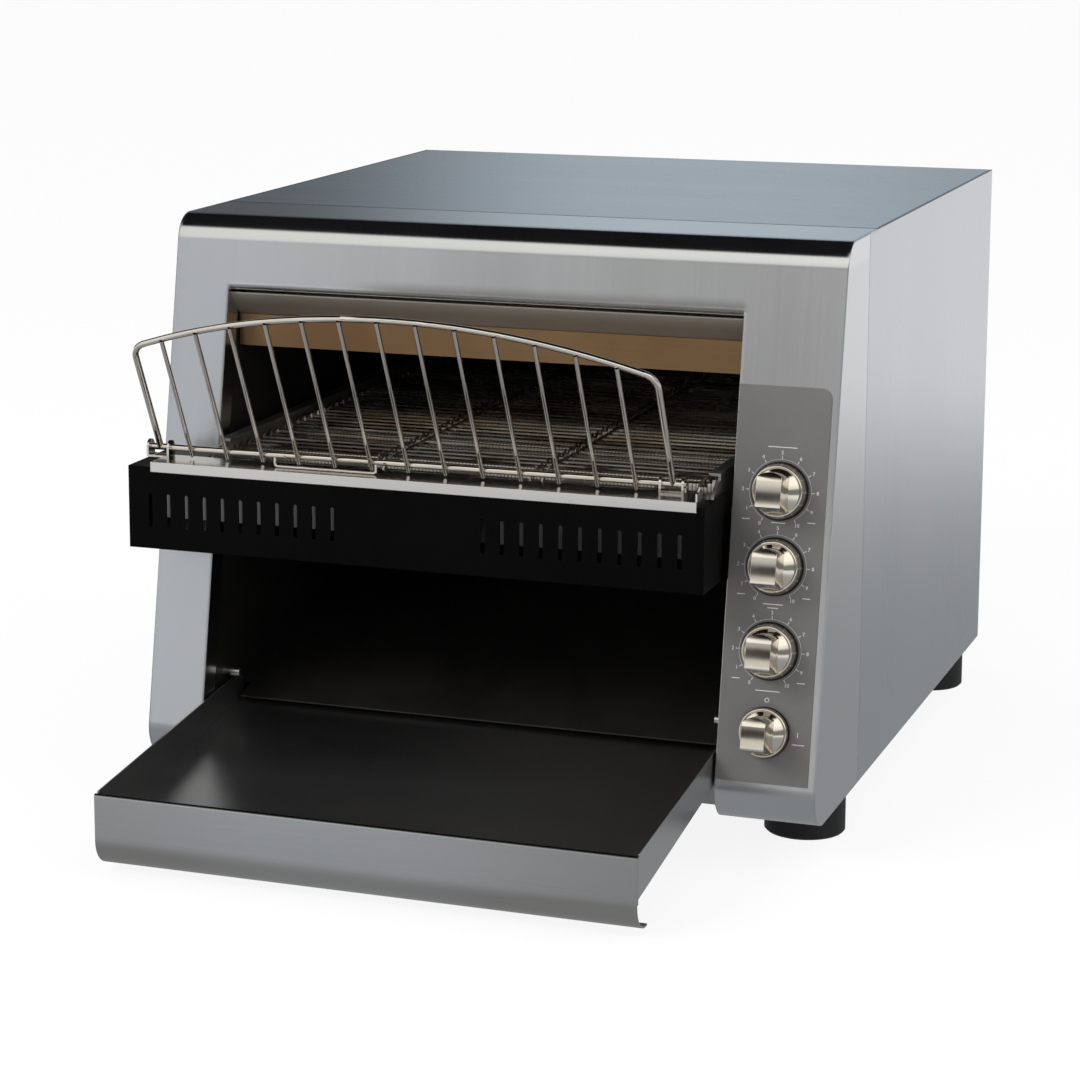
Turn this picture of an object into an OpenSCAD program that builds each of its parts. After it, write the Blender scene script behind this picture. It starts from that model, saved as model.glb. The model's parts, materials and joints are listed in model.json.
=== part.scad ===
// Countertop conveyor toaster: a wire belt carries slices from the load rack through the heated throat,
// and they slide back under the belt into a toast tray at the front.
// Lengths in mm, angles in degrees. +Z is up, the front looks along -Y, the origin is on the counter
// under the middle of the whole machine. Modules draw in body coordinates: X from the body's middle,
// Y from the line where the leaning face would meet the body's underside, Z from that underside.

/* [Body] */
// Width over the side covers
body_w = 470; // [430:1:570]
// Height of the body without its feet
body_h = 373; // [355:1:440]
// Depth from the foot of the face to the rear panel
body_d = 544; // [520:1:660]
// How far the front face leans back
face_lean = 10.43; // [8:0.01:13]
// Bend radius where the face turns under
toe_r = 24; // [16:1:30]
// Bend radius where the face turns into the top
nose_r = 19; // [12:1:24]
// Thickness of the sheet metal
sheet = 1.2; // [0.9:0.1:1.5]
// Gap at the joints between covers
seam = 0.6; // [0.3:0.1:0.8]
// Length of the bezel's side from the foot of the face
bezel_side = 126; // [120:1:140]
// Length of the bezel's top from the foot of the face
bezel_top = 147; // [140:1:165]

/* [Feet] */
// Height of a rubber foot
foot_h = 25; // [20:1:40]
// Radius of a rubber foot
foot_r = 27; // [20:0.5:27]
// Distance of a foot's middle from the body's side
foot_inset = 27.5; // [27.5:0.5:34]
// Distance of the front feet from the foot of the face
foot_front = 92; // [75:1:110]
// Distance of the rear feet from the rear panel
foot_rear = 61; // [40:1:80]

/* [Opening] */
// Width of the band left of the opening
band_left = 40; // [36:1:44]
// Width of the control band right of the opening
band_right = 66.4; // [66.4:0.1:70]
// Height of the opening's top edge on the face
opening_h = 329; // [322:1:334]
// Radius of the opening's rolled top edge
lip_r = 5; // [4:0.5:8]
// Depth of the flange round the opening
flange_d = 18; // [12:1:24]

/* [Conveyor] */
// Width of the wire belt
belt_w = 333; // [300:1:334]
// Distance from one belt strand to the next
belt_pitch = 12; // [10:0.5:13]
// Pitches between the two belt shafts
belt_spans = 35; // [30:1:36]
// Teeth on a belt sprocket
belt_teeth = 9; // [8:1:9]
// Radius of the belt wire
belt_wire_r = 0.9; // [0.7:0.05:1]
// Height of the belt shafts above the underside
belt_z = 201.5; // [198:0.5:206]
// Distance of the front belt shaft from the foot of the face
idler_y = 30; // [29:0.5:34]
// Radius of the belt shafts
shaft_r = 6; // [5:0.5:7]
// Gap from the belt's edge to a side rail
belt_gap = 1.8; // [1.5:0.1:3]
// Width of the folded top of a side rail
rail_fold = 8; // [6:0.5:10]
// Height of a side rail above the shafts
rail_rise = 24.3; // [23.5:0.1:26]

/* [Load rack] */
// Spacing of the rack's wires
rack_pitch = 26; // [20:1:30]
// Number of wires between the rack's legs
rack_wires = 13; // [9:2:13]
// Distance from the rack's middle to a leg
rack_half_w = 180; // [172:1:184]
// Height of the rack's middle along its slope
rack_h = 116.5; // [100:0.5:130]
// Radius of the rack's arched top
rack_arch_r = 505; // [450:5:700]
// Lean of the rack towards the front
rack_lean = 27.5; // [20:0.5:35]
// Radius of the rack's frame rod
rod_r = 2.2; // [2:0.1:2.4]
// Radius of the rack's wires
rack_wire_r = 1.5; // [1.2:0.1:1.6]
// Swing of the rack from its stop
rack_swing = 45; // [30:1:50]

/* [Feed shelf and burn guard] */
// Distance of the guard's front from the foot of the face
guard_reach = 18; // [14:1:24]
// Height of the guard's lower edge
guard_z = 157; // [150:1:162]
// Height of the guard's upper edge
guard_top = 213; // [210:0.5:213]
// Width of a guard slot
slot_w = 2.8; // [1.5:0.1:4]
// Height of a guard slot
slot_h = 23; // [15:1:28]
// Slots on each side of the guard's middle
slot_count = 11; // [6:1:11]
// Spacing of the guard slots
slot_pitch = 13.2; // [11:0.1:13.4]
// Height of the shelf's top
shelf_z = 216.6; // [215.6:0.1:216.8]
// Height of the shelf's front lip
shelf_lip = 6.8; // [5:0.1:9]

/* [Toast tray] */
// Reach of the tray's front from the foot of the face
tray_reach = 159; // [120:1:180]
// Gap between the tray and the opening's flanges
tray_gap = 1.3; // [0.8:0.1:2]
// Height of the tray's front edge
tray_front_z = 29.2; // [25:0.1:34]
// Slope of the tray's floor
tray_slope = 8; // [6:0.5:9]
// Slope of the top edges of the tray's sides
tray_wall_slope = 6; // [4:0.5:7]
// Radius of the curl under the tray's front
tray_curl_r = 19; // [10:0.5:20]
// How far the tray's fascia reaches below its floor before the curl
tray_drop = 3; // [0:0.5:4]
// Length of the tray inside the body
tray_inside = 70; // [62:1:76]

/* [Controls] */
// Distance of the knobs from the body's right side
knob_inset = 35; // [33:0.5:36]
// Height of the power knob on the face
power_v = 64; // [60:0.1:70]
// Height of the bottom heat knob on the face
bottom_heat_v = 116.2; // [112:0.1:122]
// Height of the top heat knob on the face
top_heat_v = 170.4; // [166:0.1:174]
// Height of the speed knob on the face
speed_v = 218.8; // [215:0.1:226]
// How far the knobs' grips stand out
knob_h = 31; // [24:0.5:34]
// Radius of the three dial knobs
knob_r = 18.9; // [16:0.1:20]
// Radius of the power knob
power_knob_r = 16.6; // [14:0.1:18]
// Radius of the control spindles
spindle_r = 3; // [2.5:0.1:3.2]
// Thickness of the control overlay
overlay_t = 0.8; // [0.4:0.1:1]
// Height of the overlay's lower edge on the face
overlay_low = 31; // [30:1:36]
// Height of the overlay's upper edge on the face
overlay_high = 286; // [270:1:300]
// Gap from the overlay to the body's right side
overlay_margin = 5; // [4:0.5:8]

/* [Hidden] */
$fn = 64;

cut = 1;                    // how far a cutter runs past the piece it cuts
running = 0.05;             // radial clearance of a shaft in its bore
half_w = body_w / 2;

// Front face and its bends
toe_y = toe_r / tan((90 - face_lean) / 2);
nose_z = body_h - nose_r;
nose_y = nose_r / cos(face_lean) + nose_z * tan(face_lean);
function face_y(z) = z * tan(face_lean);

// Opening and chamber
open_x0 = -half_w + band_left;
open_x1 = half_w - band_right;
open_cx = (open_x0 + open_x1) / 2;
open_w = open_x1 - open_x0;
lip_v = opening_h / cos(face_lean);
lip_back = 12;
toe_flange = 16;
chamber_half = open_w / 2 + sheet;
chamber_h = 347;
chamber_back = body_d - 14;
deflector_y = chamber_back - 2;
tongue = 10;

// Conveyor
belt_r = belt_pitch / (2 * sin(180 / belt_teeth));
belt_len = belt_spans * belt_pitch;
belt_count = 2 * belt_spans + belt_teeth;
drive_y = idler_y + belt_len;
wire_gap = 0.2;
wheel_r = belt_r - belt_wire_r - wire_gap;
crimp_rise = 2 * belt_wire_r + 3 * wire_gap;
wheel_offsets = [-0.425, -0.24, 0, 0.24, 0.425];
rail_out = belt_w / 2 + belt_gap + rail_fold;
rail_t = 2;
rail_nose_r = 20;
bush_r = 9;
bush_flange_r = 11;

// Load rack
rack_cx = open_cx - 27.3;
rack_y = 2.5;
rack_z = 223;
rack_corner_r = 12;
rack_tail = 3.6;
weld = 0.5;
joint = 0.2;                // half gap between two bends of a rod, filled by a round joint
joint_swell = 0.12;
ear_t = 1.5;
ear_gap = 7.5;
ear_r = 5;

// Heaters
heater_r = 5;
heater_cap_r = 8;
upper_heater_z = 300;
upper_heater_ys = [for (i = [0:4]) 120 + i * 85];
lower_heater_ys = [for (i = [0:3]) 100 + i * 85];

// Drive
chain_pitch = 6.35;
chain_teeth = 15;
chain_spans = 17;
chain_angle = 230;
chain_x = half_w - 53;
chain_gap = 3.2;
chain_plate = 0.8;
chain_depth = 5.6;
roller_r = 1.65;
sprocket_t = 2.8;
chain_r = chain_pitch / (2 * sin(180 / chain_teeth));
motor_y = drive_y + chain_spans * chain_pitch * cos(chain_angle);
motor_z = belt_z + chain_spans * chain_pitch * sin(chain_angle);
motor_plate_x = half_w - 45;

// Return path and tray
ramp_y = 60;
ramp_z = 36;
ramp_slope = 15;
ramp_arc_r = 50;
ramp_end_y = deflector_y - ramp_arc_r * (1 - sin(ramp_slope));
tray_floor_z = 1.3;
stud_r = 3;
stud_len = 12.4;
stud_y = 46;
stud_z = 58;

// Fan and rear
fan_size = 60;
fan_depth = 25;
fan_x = half_w - 32.5;
fan_z = 300;
fan_hole_r = 28.5;
gland_x = half_w - 32.5;
gland_z = 45;
gland_out = 14;

// Controls
knob_x = half_w - knob_inset;
knob_air = 0.7;
bush_out_r = 4.8;
spindle_len = 15;
knob_vs = [power_v, bottom_heat_v, top_heat_v, speed_v];

// Whole machine
body_mid_y = (body_d + gland_out - tray_reach) / 2;

// ---------- placing and profiles ----------

// Moves body coordinates into the part's frame.
module at_body() translate([0, -body_mid_y, foot_h]) children();

// Extrudes a side view, drawn as (Y, Z), from x0 to x1.
module side_view(x0, x1) translate([x0, 0, 0]) rotate([90, 0, 90]) linear_extrude(x1 - x0) children();

// Extrudes a front view, drawn as (X, Z), from y0 to y1.
module front_view(y0, y1) translate([0, y1, 0]) rotate([90, 0, 0]) linear_extrude(y1 - y0) children();

// Puts children on the leaning face at x and height v along it, with +Z out of the face.
module on_face(x, v) rotate([90 - face_lean, 0, 0]) translate([x, v, 0]) children();

// A box from one corner to the opposite one.
module block(a, b) translate(a) cube(b - a);

// A round bar along X.
module bar_x(x0, x1, y, z, r) translate([x0, y, z]) rotate([0, 90, 0]) cylinder(r = r, h = x1 - x0);

// Unit direction, and the left-hand normal of a 2D direction.
function unit(v) = v / norm(v);
function left(v) = [-v[1], v[0]];

// Outline of a bent sheet: the path and its mitred offset to the left by t.
function offset_path(p, t) = let(n = len(p)) [
    for (i = [0:n - 1]) let(
        a = unit(p[max(i, 1)] - p[max(i, 1) - 1]),
        b = unit(p[min(i + 1, n - 1)] - p[min(i + 1, n - 1) - 1]),
        m = unit(left(a) + left(b))
    ) p[i] + m * t / (m * left(a))
];
function reversed(p) = [for (i = [len(p) - 1:-1:0]) p[i]];
module bent_sheet(p, t = sheet) polygon(concat(p, reversed(offset_path(p, t))));

// A quarter ring whose straight ends lie on the axes.
module quarter_ring(r_out, r_in, quadrant = 0)
    rotate(quadrant * 90) difference() {
        intersection() {
            circle(r_out);
            square(r_out + cut);
        }
        circle(r_in);
    }

// Rounds a convex corner c between the points a and b where an arc of radius r round m meets the sides.
module corner_cut(c, a, m, b, r) difference() {
    polygon([c + (c - m), a, m, b]);
    circle_at(m, r);
}
module circle_at(m, r) translate(m) circle(r);

// Side view of the body set in by d, run out to the rear at y = back.
module body_side(d, back) {
    dir = [-cos(face_lean), sin(face_lean)];
    toe = [toe_y, toe_r];
    nose = [nose_y, nose_z];
    low = [face_y(d) + d / cos(face_lean), d];
    high = [face_y(body_h - d) + d / cos(face_lean), body_h - d];
    difference() {
        polygon([low, high, [back, body_h - d], [back, d]]);
        corner_cut(low, [toe_y, d], toe, toe + (toe_r - d) * dir, toe_r - d);
        corner_cut(high, nose + (nose_r - d) * dir, nose, [nose_y, body_h - d], nose_r - d);
    }
}

// Side view of the bezel's sheet: toe flange, face, nose and top.
module bezel_sheet(d, t) difference() {
    body_side(d, bezel_top + 2);
    body_side(d + t, bezel_top + 3);
    translate([bezel_top, body_h / 2]) square([20, body_h]);
    translate([toe_y + toe_flange, -cut]) square([200, body_h / 2 + cut]);
}

// ---------- outer body ----------

module front_bezel() color("lightsteelblue") at_body() {
    difference() {
        union() {
            side_view(-half_w, half_w) bezel_sheet(0, sheet);
            for (x = [-half_w, half_w - sheet]) side_view(x, x + sheet) difference() {
                body_side(0, bezel_side + cut);
                translate([bezel_side, -cut]) square([200, body_h + 2 * cut]);
            }
        }
        // the opening, and the holes for the control bushes
        side_view(open_x0, open_x1) rotate(-face_lean) translate([-80, -80]) square([200, 80 + lip_v]);
        for (v = knob_vs) on_face(knob_x, v) translate([0, 0, -10]) cylinder(r = bush_out_r + 0.3, h = 20);
    }
    // flanges down both sides of the opening
    for (x = [[open_x0 - sheet, open_x0], [open_x1, open_x1 + sheet]]) side_view(x[0], x[1])
        difference() {
            body_side(0, bezel_side);
            body_side(flange_d, bezel_side + cut);
            translate([toe_y + toe_flange, -cut]) square([200, body_h / 2]);
            rotate(-face_lean) translate([-80, lip_v - lip_r + sheet]) square([300, 200]);
        }
    // rolled edge across the top of the opening
    side_view(open_x0 - sheet, open_x1 + sheet) rotate(-face_lean) {
        translate([lip_r, lip_v]) quarter_ring(lip_r, lip_r - sheet, 2);
        translate([lip_r, lip_v - lip_r]) square([lip_back, sheet]);
    }
}

module control_overlay() color("dimgray") at_body() difference() {
    x0 = open_x1 + 0.6;
    x1 = half_w - overlay_margin;
    corner = 7;
    on_face(0, 0) linear_extrude(overlay_t) difference() {
        union() {
            translate([x0, overlay_low]) square([x1 - x0, overlay_high - corner - overlay_low]);
            translate([x0, overlay_low]) square([x1 - corner - x0, overlay_high - overlay_low]);
            translate([x1 - corner, overlay_high - corner]) circle(corner);
        }
        for (v = knob_vs) translate([knob_x, v]) circle(bush_out_r + 0.3);
    }
}

module top_cover() color("slategray") at_body() {
    x1 = half_w - sheet - seam;
    difference() {
        union() {
            block([-x1, bezel_top + seam, body_h - sheet], [x1, body_d, body_h]);
            block([-x1, bezel_top - tongue, body_h - 2 * sheet], [x1, body_d - 2 * sheet, body_h - sheet]);
        }
        block(
            [-x1 + 16, bezel_top + tongue, body_h - 2 * sheet - cut], [x1 - 16, body_d - 18, body_h - sheet]
        );
    }
    for (side = [-1, 1]) block(
        [min(side * x1, side * (x1 - sheet)), bezel_top + seam, body_h - 18],
        [max(side * x1, side * (x1 - sheet)), body_d - 2 * sheet, body_h - 2 * sheet]
    );
}

// A side cover: outer skin, a tongue behind the bezel and a flange for the rear panel.
module side_cover(flange_top) {
    block([half_w - sheet, bezel_side + seam, 0], [half_w, body_d, body_h - sheet]);
    block([half_w - sheet, bezel_top + seam, body_h - 2 * sheet], [half_w, body_d, body_h]);
    block([half_w - 2 * sheet, bezel_side - tongue, 6], [half_w - sheet, bezel_side + tongue, body_h - 24]);
    block([half_w - 14, body_d - 2 * sheet, 24], [half_w - sheet, body_d - sheet, flange_top]);
}

module side_cover_left() color("silver") at_body() mirror([1, 0, 0]) side_cover(body_h - 24);

// The right cover's flange stops below the fan.
module side_cover_right() color("silver") at_body() side_cover(fan_z - fan_size / 2 - 2);

module rear_panel() color("silver") at_body() {
    x1 = half_w - sheet - seam;
    louvres = 9;
    difference() {
        block([-x1, body_d - sheet, 1.5 * sheet], [x1, body_d, body_h - sheet - seam]);
        translate([fan_x, body_d - 2 * sheet, fan_z]) rotate([-90, 0, 0])
            cylinder(r = fan_hole_r, h = 4 * sheet);
        translate([gland_x, body_d - 2 * sheet, gland_z]) rotate([-90, 0, 0])
            cylinder(r = 8.1, h = 4 * sheet);
        for (i = [0:louvres - 1]) for (row = [0, 1]) translate([-half_w + 45 + i * 38, 0, 250 + row * 45])
            front_view(body_d - 2 * sheet, body_d + sheet) {
                square([22, 4]);
                translate([0, 2]) circle(2);
                translate([22, 2]) circle(2);
            }
    }
}

module base_pan() color("gray") at_body() {
    x1 = half_w - sheet;
    y0 = toe_y + toe_flange;
    y1 = body_d - 2 * sheet;
    slots = 8;
    difference() {
        block([-x1, y0, 0], [x1, y1, sheet]);
        for (i = [0:slots - 1]) translate([half_w - 52, 150 + i * 30, -cut]) {
            cube([40, 5, sheet + 2 * cut]);
            translate([0, 2.5, 0]) cylinder(r = 2.5, h = sheet + 2 * cut);
            translate([40, 2.5, 0]) cylinder(r = 2.5, h = sheet + 2 * cut);
        }
        for (x = [-1, 1]) for (y = [foot_front, body_d - foot_rear])
            translate([x * (half_w - foot_inset), y, -cut]) cylinder(r = 2.6, h = sheet + 2 * cut);
    }
    for (side = [-1, 1]) block(
        [min(side * x1, side * (x1 - sheet)), bezel_side + tongue + seam, sheet],
        [max(side * x1, side * (x1 - sheet)), y1, 22]
    );
    block([-x1 + 14, y1 - sheet, sheet], [x1 - 14, y1, 22]);
    block([open_x0, y0, sheet], [open_x1, y0 + sheet, 18]);
}

// ---------- feet ----------

module foot() {
    rotate_extrude() difference() {
        square([foot_r, foot_h]);
        translate([0, -cut]) square([2.55, foot_h + 2 * cut]);
        translate([0, -cut]) square([8, foot_h / 2 + cut]);
        translate([foot_r, 0]) rotate(45) square(2, center = true);
    }
}

module at_feet() for (x = [-1, 1]) for (y = [foot_front, body_d - foot_rear])
    translate([x * (half_w - foot_inset), y, 0]) children();

module feet() color("black") at_body() at_feet() translate([0, 0, -foot_h]) foot();

module foot_screws() color("gainsboro") at_body() at_feet() {
    translate([0, 0, -foot_h / 2]) cylinder(r = 2.5, h = foot_h / 2 + sheet + 5);
    translate([0, 0, -foot_h / 2 - 3]) cylinder(r = 5, h = 3);
    translate([0, 0, sheet]) cylinder(r = 5, h = 4, $fn = 6);
}

// ---------- guard, shelf and load rack ----------

module guard_slot() {
    square([slot_w, slot_h - slot_w], center = true);
    for (s = [-1, 1]) translate([0, s * (slot_h - slot_w) / 2]) circle(slot_w / 2);
}

guard_x1 = open_x1 - 3.8 + sheet;
guard_inner_x0 = -half_w + 38;
guard_back = idler_y - 21;
slot_cx = (guard_x1 - half_w) / 2;
slot_gap = 52.5;
slot_z = 183.4;

module burn_guard() color("black") at_body() {
    y0 = -guard_reach;
    difference() {
        block([-half_w, y0, guard_z], [guard_x1, y0 + sheet, guard_top]);
        for (s = [-1, 1]) for (k = [0:slot_count - 1])
            translate([slot_cx + s * (slot_gap + k * slot_pitch), 0, slot_z])
                front_view(y0 - cut, y0 + sheet + cut) guard_slot();
    }
    // returns along the bottom and the top
    block([-half_w, y0, guard_z], [guard_x1, y0 + 10, guard_z + sheet]);
    block([-half_w, y0, guard_top - sheet], [guard_x1, guard_back, guard_top]);
    side_view(-half_w, guard_inner_x0) polygon([
        [y0, guard_top - sheet], [face_y(guard_top - sheet), guard_top - sheet],
        [face_y(guard_top), guard_top], [y0, guard_top]
    ]);
    // end walls: the left one meets the band, the right one runs into the opening
    side_view(-half_w, -half_w + sheet) polygon([
        [y0, guard_z], [face_y(guard_z), guard_z], [face_y(guard_top), guard_top], [y0, guard_top]
    ]);
    side_view(guard_x1 - sheet, guard_x1) polygon([
        [y0, guard_z], [face_y(guard_z) + 4, guard_z], [face_y(guard_z) + 4, guard_top], [y0, guard_top]
    ]);
}

// Inner sheet that hangs from the guard's top return and shows through the slots.
module guard_shield() color("silver") at_body() {
    x0 = -half_w + 19;
    x1 = guard_x1 - sheet - 2;
    y0 = -guard_reach + 12;
    low = 176.5;
    top = guard_top - sheet;
    block([x0, y0, low], [x1, y0 + sheet, top]);
    block([x0, y0, top - sheet], [x1, y0 + 10, top]);
}

shelf_x0 = -half_w + 17;
shelf_x1 = guard_x1 - 5;
shelf_back = guard_back;

module feed_shelf() color("lightgray") at_body() {
    y0 = -guard_reach - sheet;
    block([shelf_x0, y0, shelf_z - sheet], [shelf_x1, shelf_back, shelf_z]);
    block([shelf_x0, y0, shelf_z - shelf_lip], [shelf_x1, y0 + sheet, shelf_z]);
    block([shelf_x0, shelf_back - sheet, guard_top], [shelf_x1, shelf_back, shelf_z]);
    for (x = [shelf_x0, shelf_x1 - sheet])
        block([x, y0 + sheet, guard_top], [x + sheet, shelf_back, shelf_z]);
    // stop tab at the right end
    block([shelf_x1 - sheet, y0 + 2, shelf_z], [shelf_x1, y0 + 14, shelf_z + 5]);
}

// A saddle that holds the rack's rod in two ears.
module rack_saddle() {
    for (s = [-1, 1]) side_view(s * ear_gap - ear_t / 2, s * ear_gap + ear_t / 2) difference() {
        union() {
            translate([rack_y, rack_z]) circle(ear_r);
            translate([rack_y - ear_r, shelf_z]) square([2 * ear_r, rack_z - shelf_z]);
        }
        translate([rack_y, rack_z]) circle(rod_r + running);
    }
    block([-ear_gap, rack_y - ear_r, shelf_z], [ear_gap, rack_y - ear_r + 1.2, shelf_z + 1.2]);
    block([-ear_gap, rack_y + ear_r - 1.2, shelf_z], [ear_gap, rack_y + ear_r, shelf_z + 1.2]);
}

// The bent wire staple that lies along the shelf.
module shelf_staple(x0, x1, y, r) {
    z = shelf_z + r;
    bar_x(x0 + 2, x1 - 2, y, z, r);
    for (s = [[x0, 1], [x1, -1]]) {
        translate([s[0], y, z + 2]) cylinder(r = r, h = 4);
        translate([s[0] + s[1] * 2, y, z + 2]) rotate([90, 0, 0]) mirror([s[1] > 0 ? 0 : 1, 0, 0])
            rotate([0, 0, 180]) rotate_extrude(angle = 90) translate([2, 0]) circle(r);
    }
}

module rack_clips() color("gainsboro") at_body() {
    for (s = [-1, 1]) translate([rack_cx + s * rack_half_w, 0, 0]) rack_saddle();
    shelf_staple(-132, -60, -7.5, 1);
}

// Height of the rack's arched top at a distance u from its middle.
function arch_v(u, r = rack_arch_r) = rack_h - rack_arch_r + sqrt(r * r - u * u);

// Draws in the rack's own plane: X along the rod, Y up the slope, +Z towards the slices.
module rack_plane() translate([rack_cx, rack_y, rack_z]) rotate([90 + rack_lean, 0, 0]) mirror([0, 0, 1])
    children();

module load_rack() color("whitesmoke") at_body() {
    corner_u = rack_half_w - rack_corner_r;
    corner_v = arch_v(corner_u, rack_arch_r - rack_corner_r);
    arch_a = asin(corner_u / (rack_arch_r - rack_corner_r));
    arch_end = arch_a - atan(joint / rack_arch_r);
    corner_end = atan(joint / rack_corner_r);
    half_rod = rack_half_w + ear_gap + ear_t;
    bar_x(rack_cx - half_rod, rack_cx + half_rod, rack_y, rack_z, rod_r);
    rack_plane() {
        for (s = [-1, 1]) translate([s * rack_half_w, 0, 0]) rotate([-90, 0, 0])
            cylinder(r = rod_r, h = corner_v);
        for (m = [0, 1]) mirror([m, 0, 0]) translate([corner_u, corner_v, 0]) {
            rotate_extrude(angle = 90 - arch_a - corner_end) translate([rack_corner_r, 0]) circle(rod_r);
            rotate(90 - arch_a) translate([rack_corner_r, 0, 0]) rotate([90, 0, 0])
                sphere(rod_r + joint_swell);
        }
        translate([0, rack_h - rack_arch_r, 0]) rotate([0, 0, 90 - arch_end])
            rotate_extrude(angle = 2 * arch_end) translate([rack_arch_r, 0]) circle(rod_r);
        for (i = [0:rack_wires - 1]) let(u = (i - (rack_wires - 1) / 2) * rack_pitch)
            translate([u, -rack_tail, -(rod_r + rack_wire_r - weld)]) rotate([-90, 0, 0])
                cylinder(r = rack_wire_r, h = arch_v(u) + rack_tail + 0.5);
    }
}

// ---------- conveyor ----------

// Places children at the belt's middle, and mirrors them for the left side.
module conveyor_side(left_side) translate([open_cx, 0, 0]) mirror([left_side ? 1 : 0, 0, 0]) children();

module conveyor_rail() {
    y1 = drive_y + rail_nose_r;
    top = belt_z + rail_rise;
    difference() {
        union() {
            side_view(rail_out - rail_t, rail_out) {
                translate([idler_y, belt_z]) circle(rail_nose_r);
                translate([drive_y, belt_z]) circle(rail_nose_r);
                translate([idler_y, belt_z - rail_nose_r]) square([belt_len, rail_nose_r + rail_rise]);
            }
            block([rail_out - rail_fold, idler_y, top - rail_t], [rail_out, drive_y, top]);
            for (y = [110, (idler_y + drive_y) / 2 + 5, drive_y - 60])
                bar_x(rail_out, chamber_half, y, belt_z - 10, 5);
        }
        for (y = [idler_y, drive_y]) bar_x(rail_out - rail_t - cut, rail_out + cut, y, belt_z, bush_r);
        for (y = lower_heater_ys) bar_x(rail_out - rail_t - cut, rail_out + cut, y, belt_z, heater_cap_r);
    }
}

module conveyor_rail_left() color("darkgray") at_body() conveyor_side(true) conveyor_rail();

module conveyor_rail_right() color("darkgray") at_body() conveyor_side(false) conveyor_rail();

module shaft_bushes() color("goldenrod") at_body() for (m = [0, 1]) conveyor_side(m == 1)
    for (y = [idler_y, drive_y]) difference() {
        union() {
            bar_x(rail_out - rail_t, rail_out + 1.5, y, belt_z, bush_r);
            bar_x(rail_out - rail_t - 1.5, rail_out - rail_t, y, belt_z, bush_flange_r);
        }
        bar_x(rail_out - rail_t - 3, rail_out + 3, y, belt_z, shaft_r + running);
    }

// Path of the belt's pitch line: position and travel direction after s pitches from the idler's top.
function belt_turn(s) = let(t = s - belt_spans, u = s - 2 * belt_spans - belt_teeth / 2)
    t < 0 ? 0 : t < belt_teeth / 2 ? t * 360 / belt_teeth : u < 0 ? 180 : 180 + u * 360 / belt_teeth;
function belt_pos(s) = let(t = s - belt_spans, b = s - belt_spans - belt_teeth / 2, a = belt_turn(s))
    t < 0 ? [idler_y + s * belt_pitch, belt_z + belt_r]
    : b < 0 ? [drive_y + belt_r * sin(a), belt_z + belt_r * cos(a)]
    : b < belt_spans ? [drive_y - b * belt_pitch, belt_z - belt_r]
    : [idler_y + belt_r * sin(a), belt_z + belt_r * cos(a)];

// One strand in its own axes: [across the belt, pitches along the travel, out of the belt].
strand_half = belt_w / 2 - belt_wire_r;
crimp_in = 2.4;
crimp_out = 4.6;
crest_s = 1.1;
tip_s = 1 + 2.8 / belt_pitch;
tip_drop = crimp_rise + wire_gap;
hook_back = 5;
crimp_xs = [-belt_w / 6, belt_w / 6];
function crimp_points(x) = [
    [x - crimp_in, 0, 0], [x - crimp_out, crest_s, crimp_rise], [x - crimp_out, tip_s, -tip_drop],
    [x + crimp_out, tip_s, -tip_drop], [x + crimp_out, crest_s, crimp_rise], [x + crimp_in, 0, 0]
];
function edge_points(s) = [
    [s * (strand_half - hook_back), tip_s, -tip_drop], [s * strand_half, tip_s, -tip_drop],
    [s * strand_half, crest_s, crimp_rise], [s * (strand_half - crimp_in), 0, 0]
];
strand = concat(
    edge_points(-1), crimp_points(crimp_xs[0]), crimp_points(crimp_xs[1]), reversed(edge_points(1))
);
function belt_out(s) = let(a = belt_turn(s)) [0, sin(a), cos(a)];
function strand_s(k, p) = (k + p[1]) % belt_count;
function strand_place(k, p) = let(s = strand_s(k, p), q = belt_pos(s))
    [open_cx + p[0], q[0], q[1]] + p[2] * belt_out(s);

// Square section of the swept wire: each ring slides along its segment to the mitre at the next bend.
function first_ring(p, out) = let(u = unit(p[1] - p[0]), e = unit(cross(u, out)), f = cross(u, e))
    [for (k = [0:3]) p[0] + belt_wire_r * (cos(90 * k + 45) * e + sin(90 * k + 45) * f)];
function slid_ring(ring, q, u, w) = let(m = unit(u + w)) [for (v = ring) v + u * ((q - v) * m) / (u * m)];
function segment(p, i) = unit(p[i] - p[i - 1]);
function wire_rings(p, out) = let(n = len(p)) [
    for (
        i = 0, ring = first_ring(p, out);
        i < n;
        i = i + 1, ring = i < n ? slid_ring(ring, p[i], segment(p, i), segment(p, min(i + 1, n - 1))) : ring
    ) each ring
];
function strand_points(k) =
    wire_rings([for (q = strand) strand_place(k, q)], belt_out(strand_s(k, strand[0])));
function strand_faces(first) = let(n = len(strand)) concat(
    [[for (k = [0:3]) first + k]],
    [for (i = [0:n - 2]) for (k = [0:3]) let(a = first + 4 * i + k, b = first + 4 * i + (k + 1) % 4)
        [a, a + 4, b + 4, b]],
    [[for (k = [3:-1:0]) first + 4 * (n - 1) + k]]
);

module wire_belt() color("rosybrown") at_body() polyhedron(
    points = [for (k = [0:belt_count - 1]) each strand_points(k)],
    faces = [for (k = [0:belt_count - 1]) each strand_faces(4 * len(strand) * k)]
);

// The shafts end just outside the bushes; the drive shaft runs on to its chain sprocket.
shaft_over = 3;
module drive_shaft() color("silver") at_body()
    bar_x(open_cx - rail_out - shaft_over, chain_x + 7, drive_y, belt_z, shaft_r);

module idler_shaft() color("silver") at_body()
    bar_x(open_cx - rail_out - shaft_over, open_cx + rail_out + 1.3, idler_y, belt_z, shaft_r);

// Belt wheels sit between the crimps, with a hub on each side of the disc.
module at_wheels() for (o = wheel_offsets) translate([open_cx + o * belt_w, 0, 0]) children();

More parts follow.
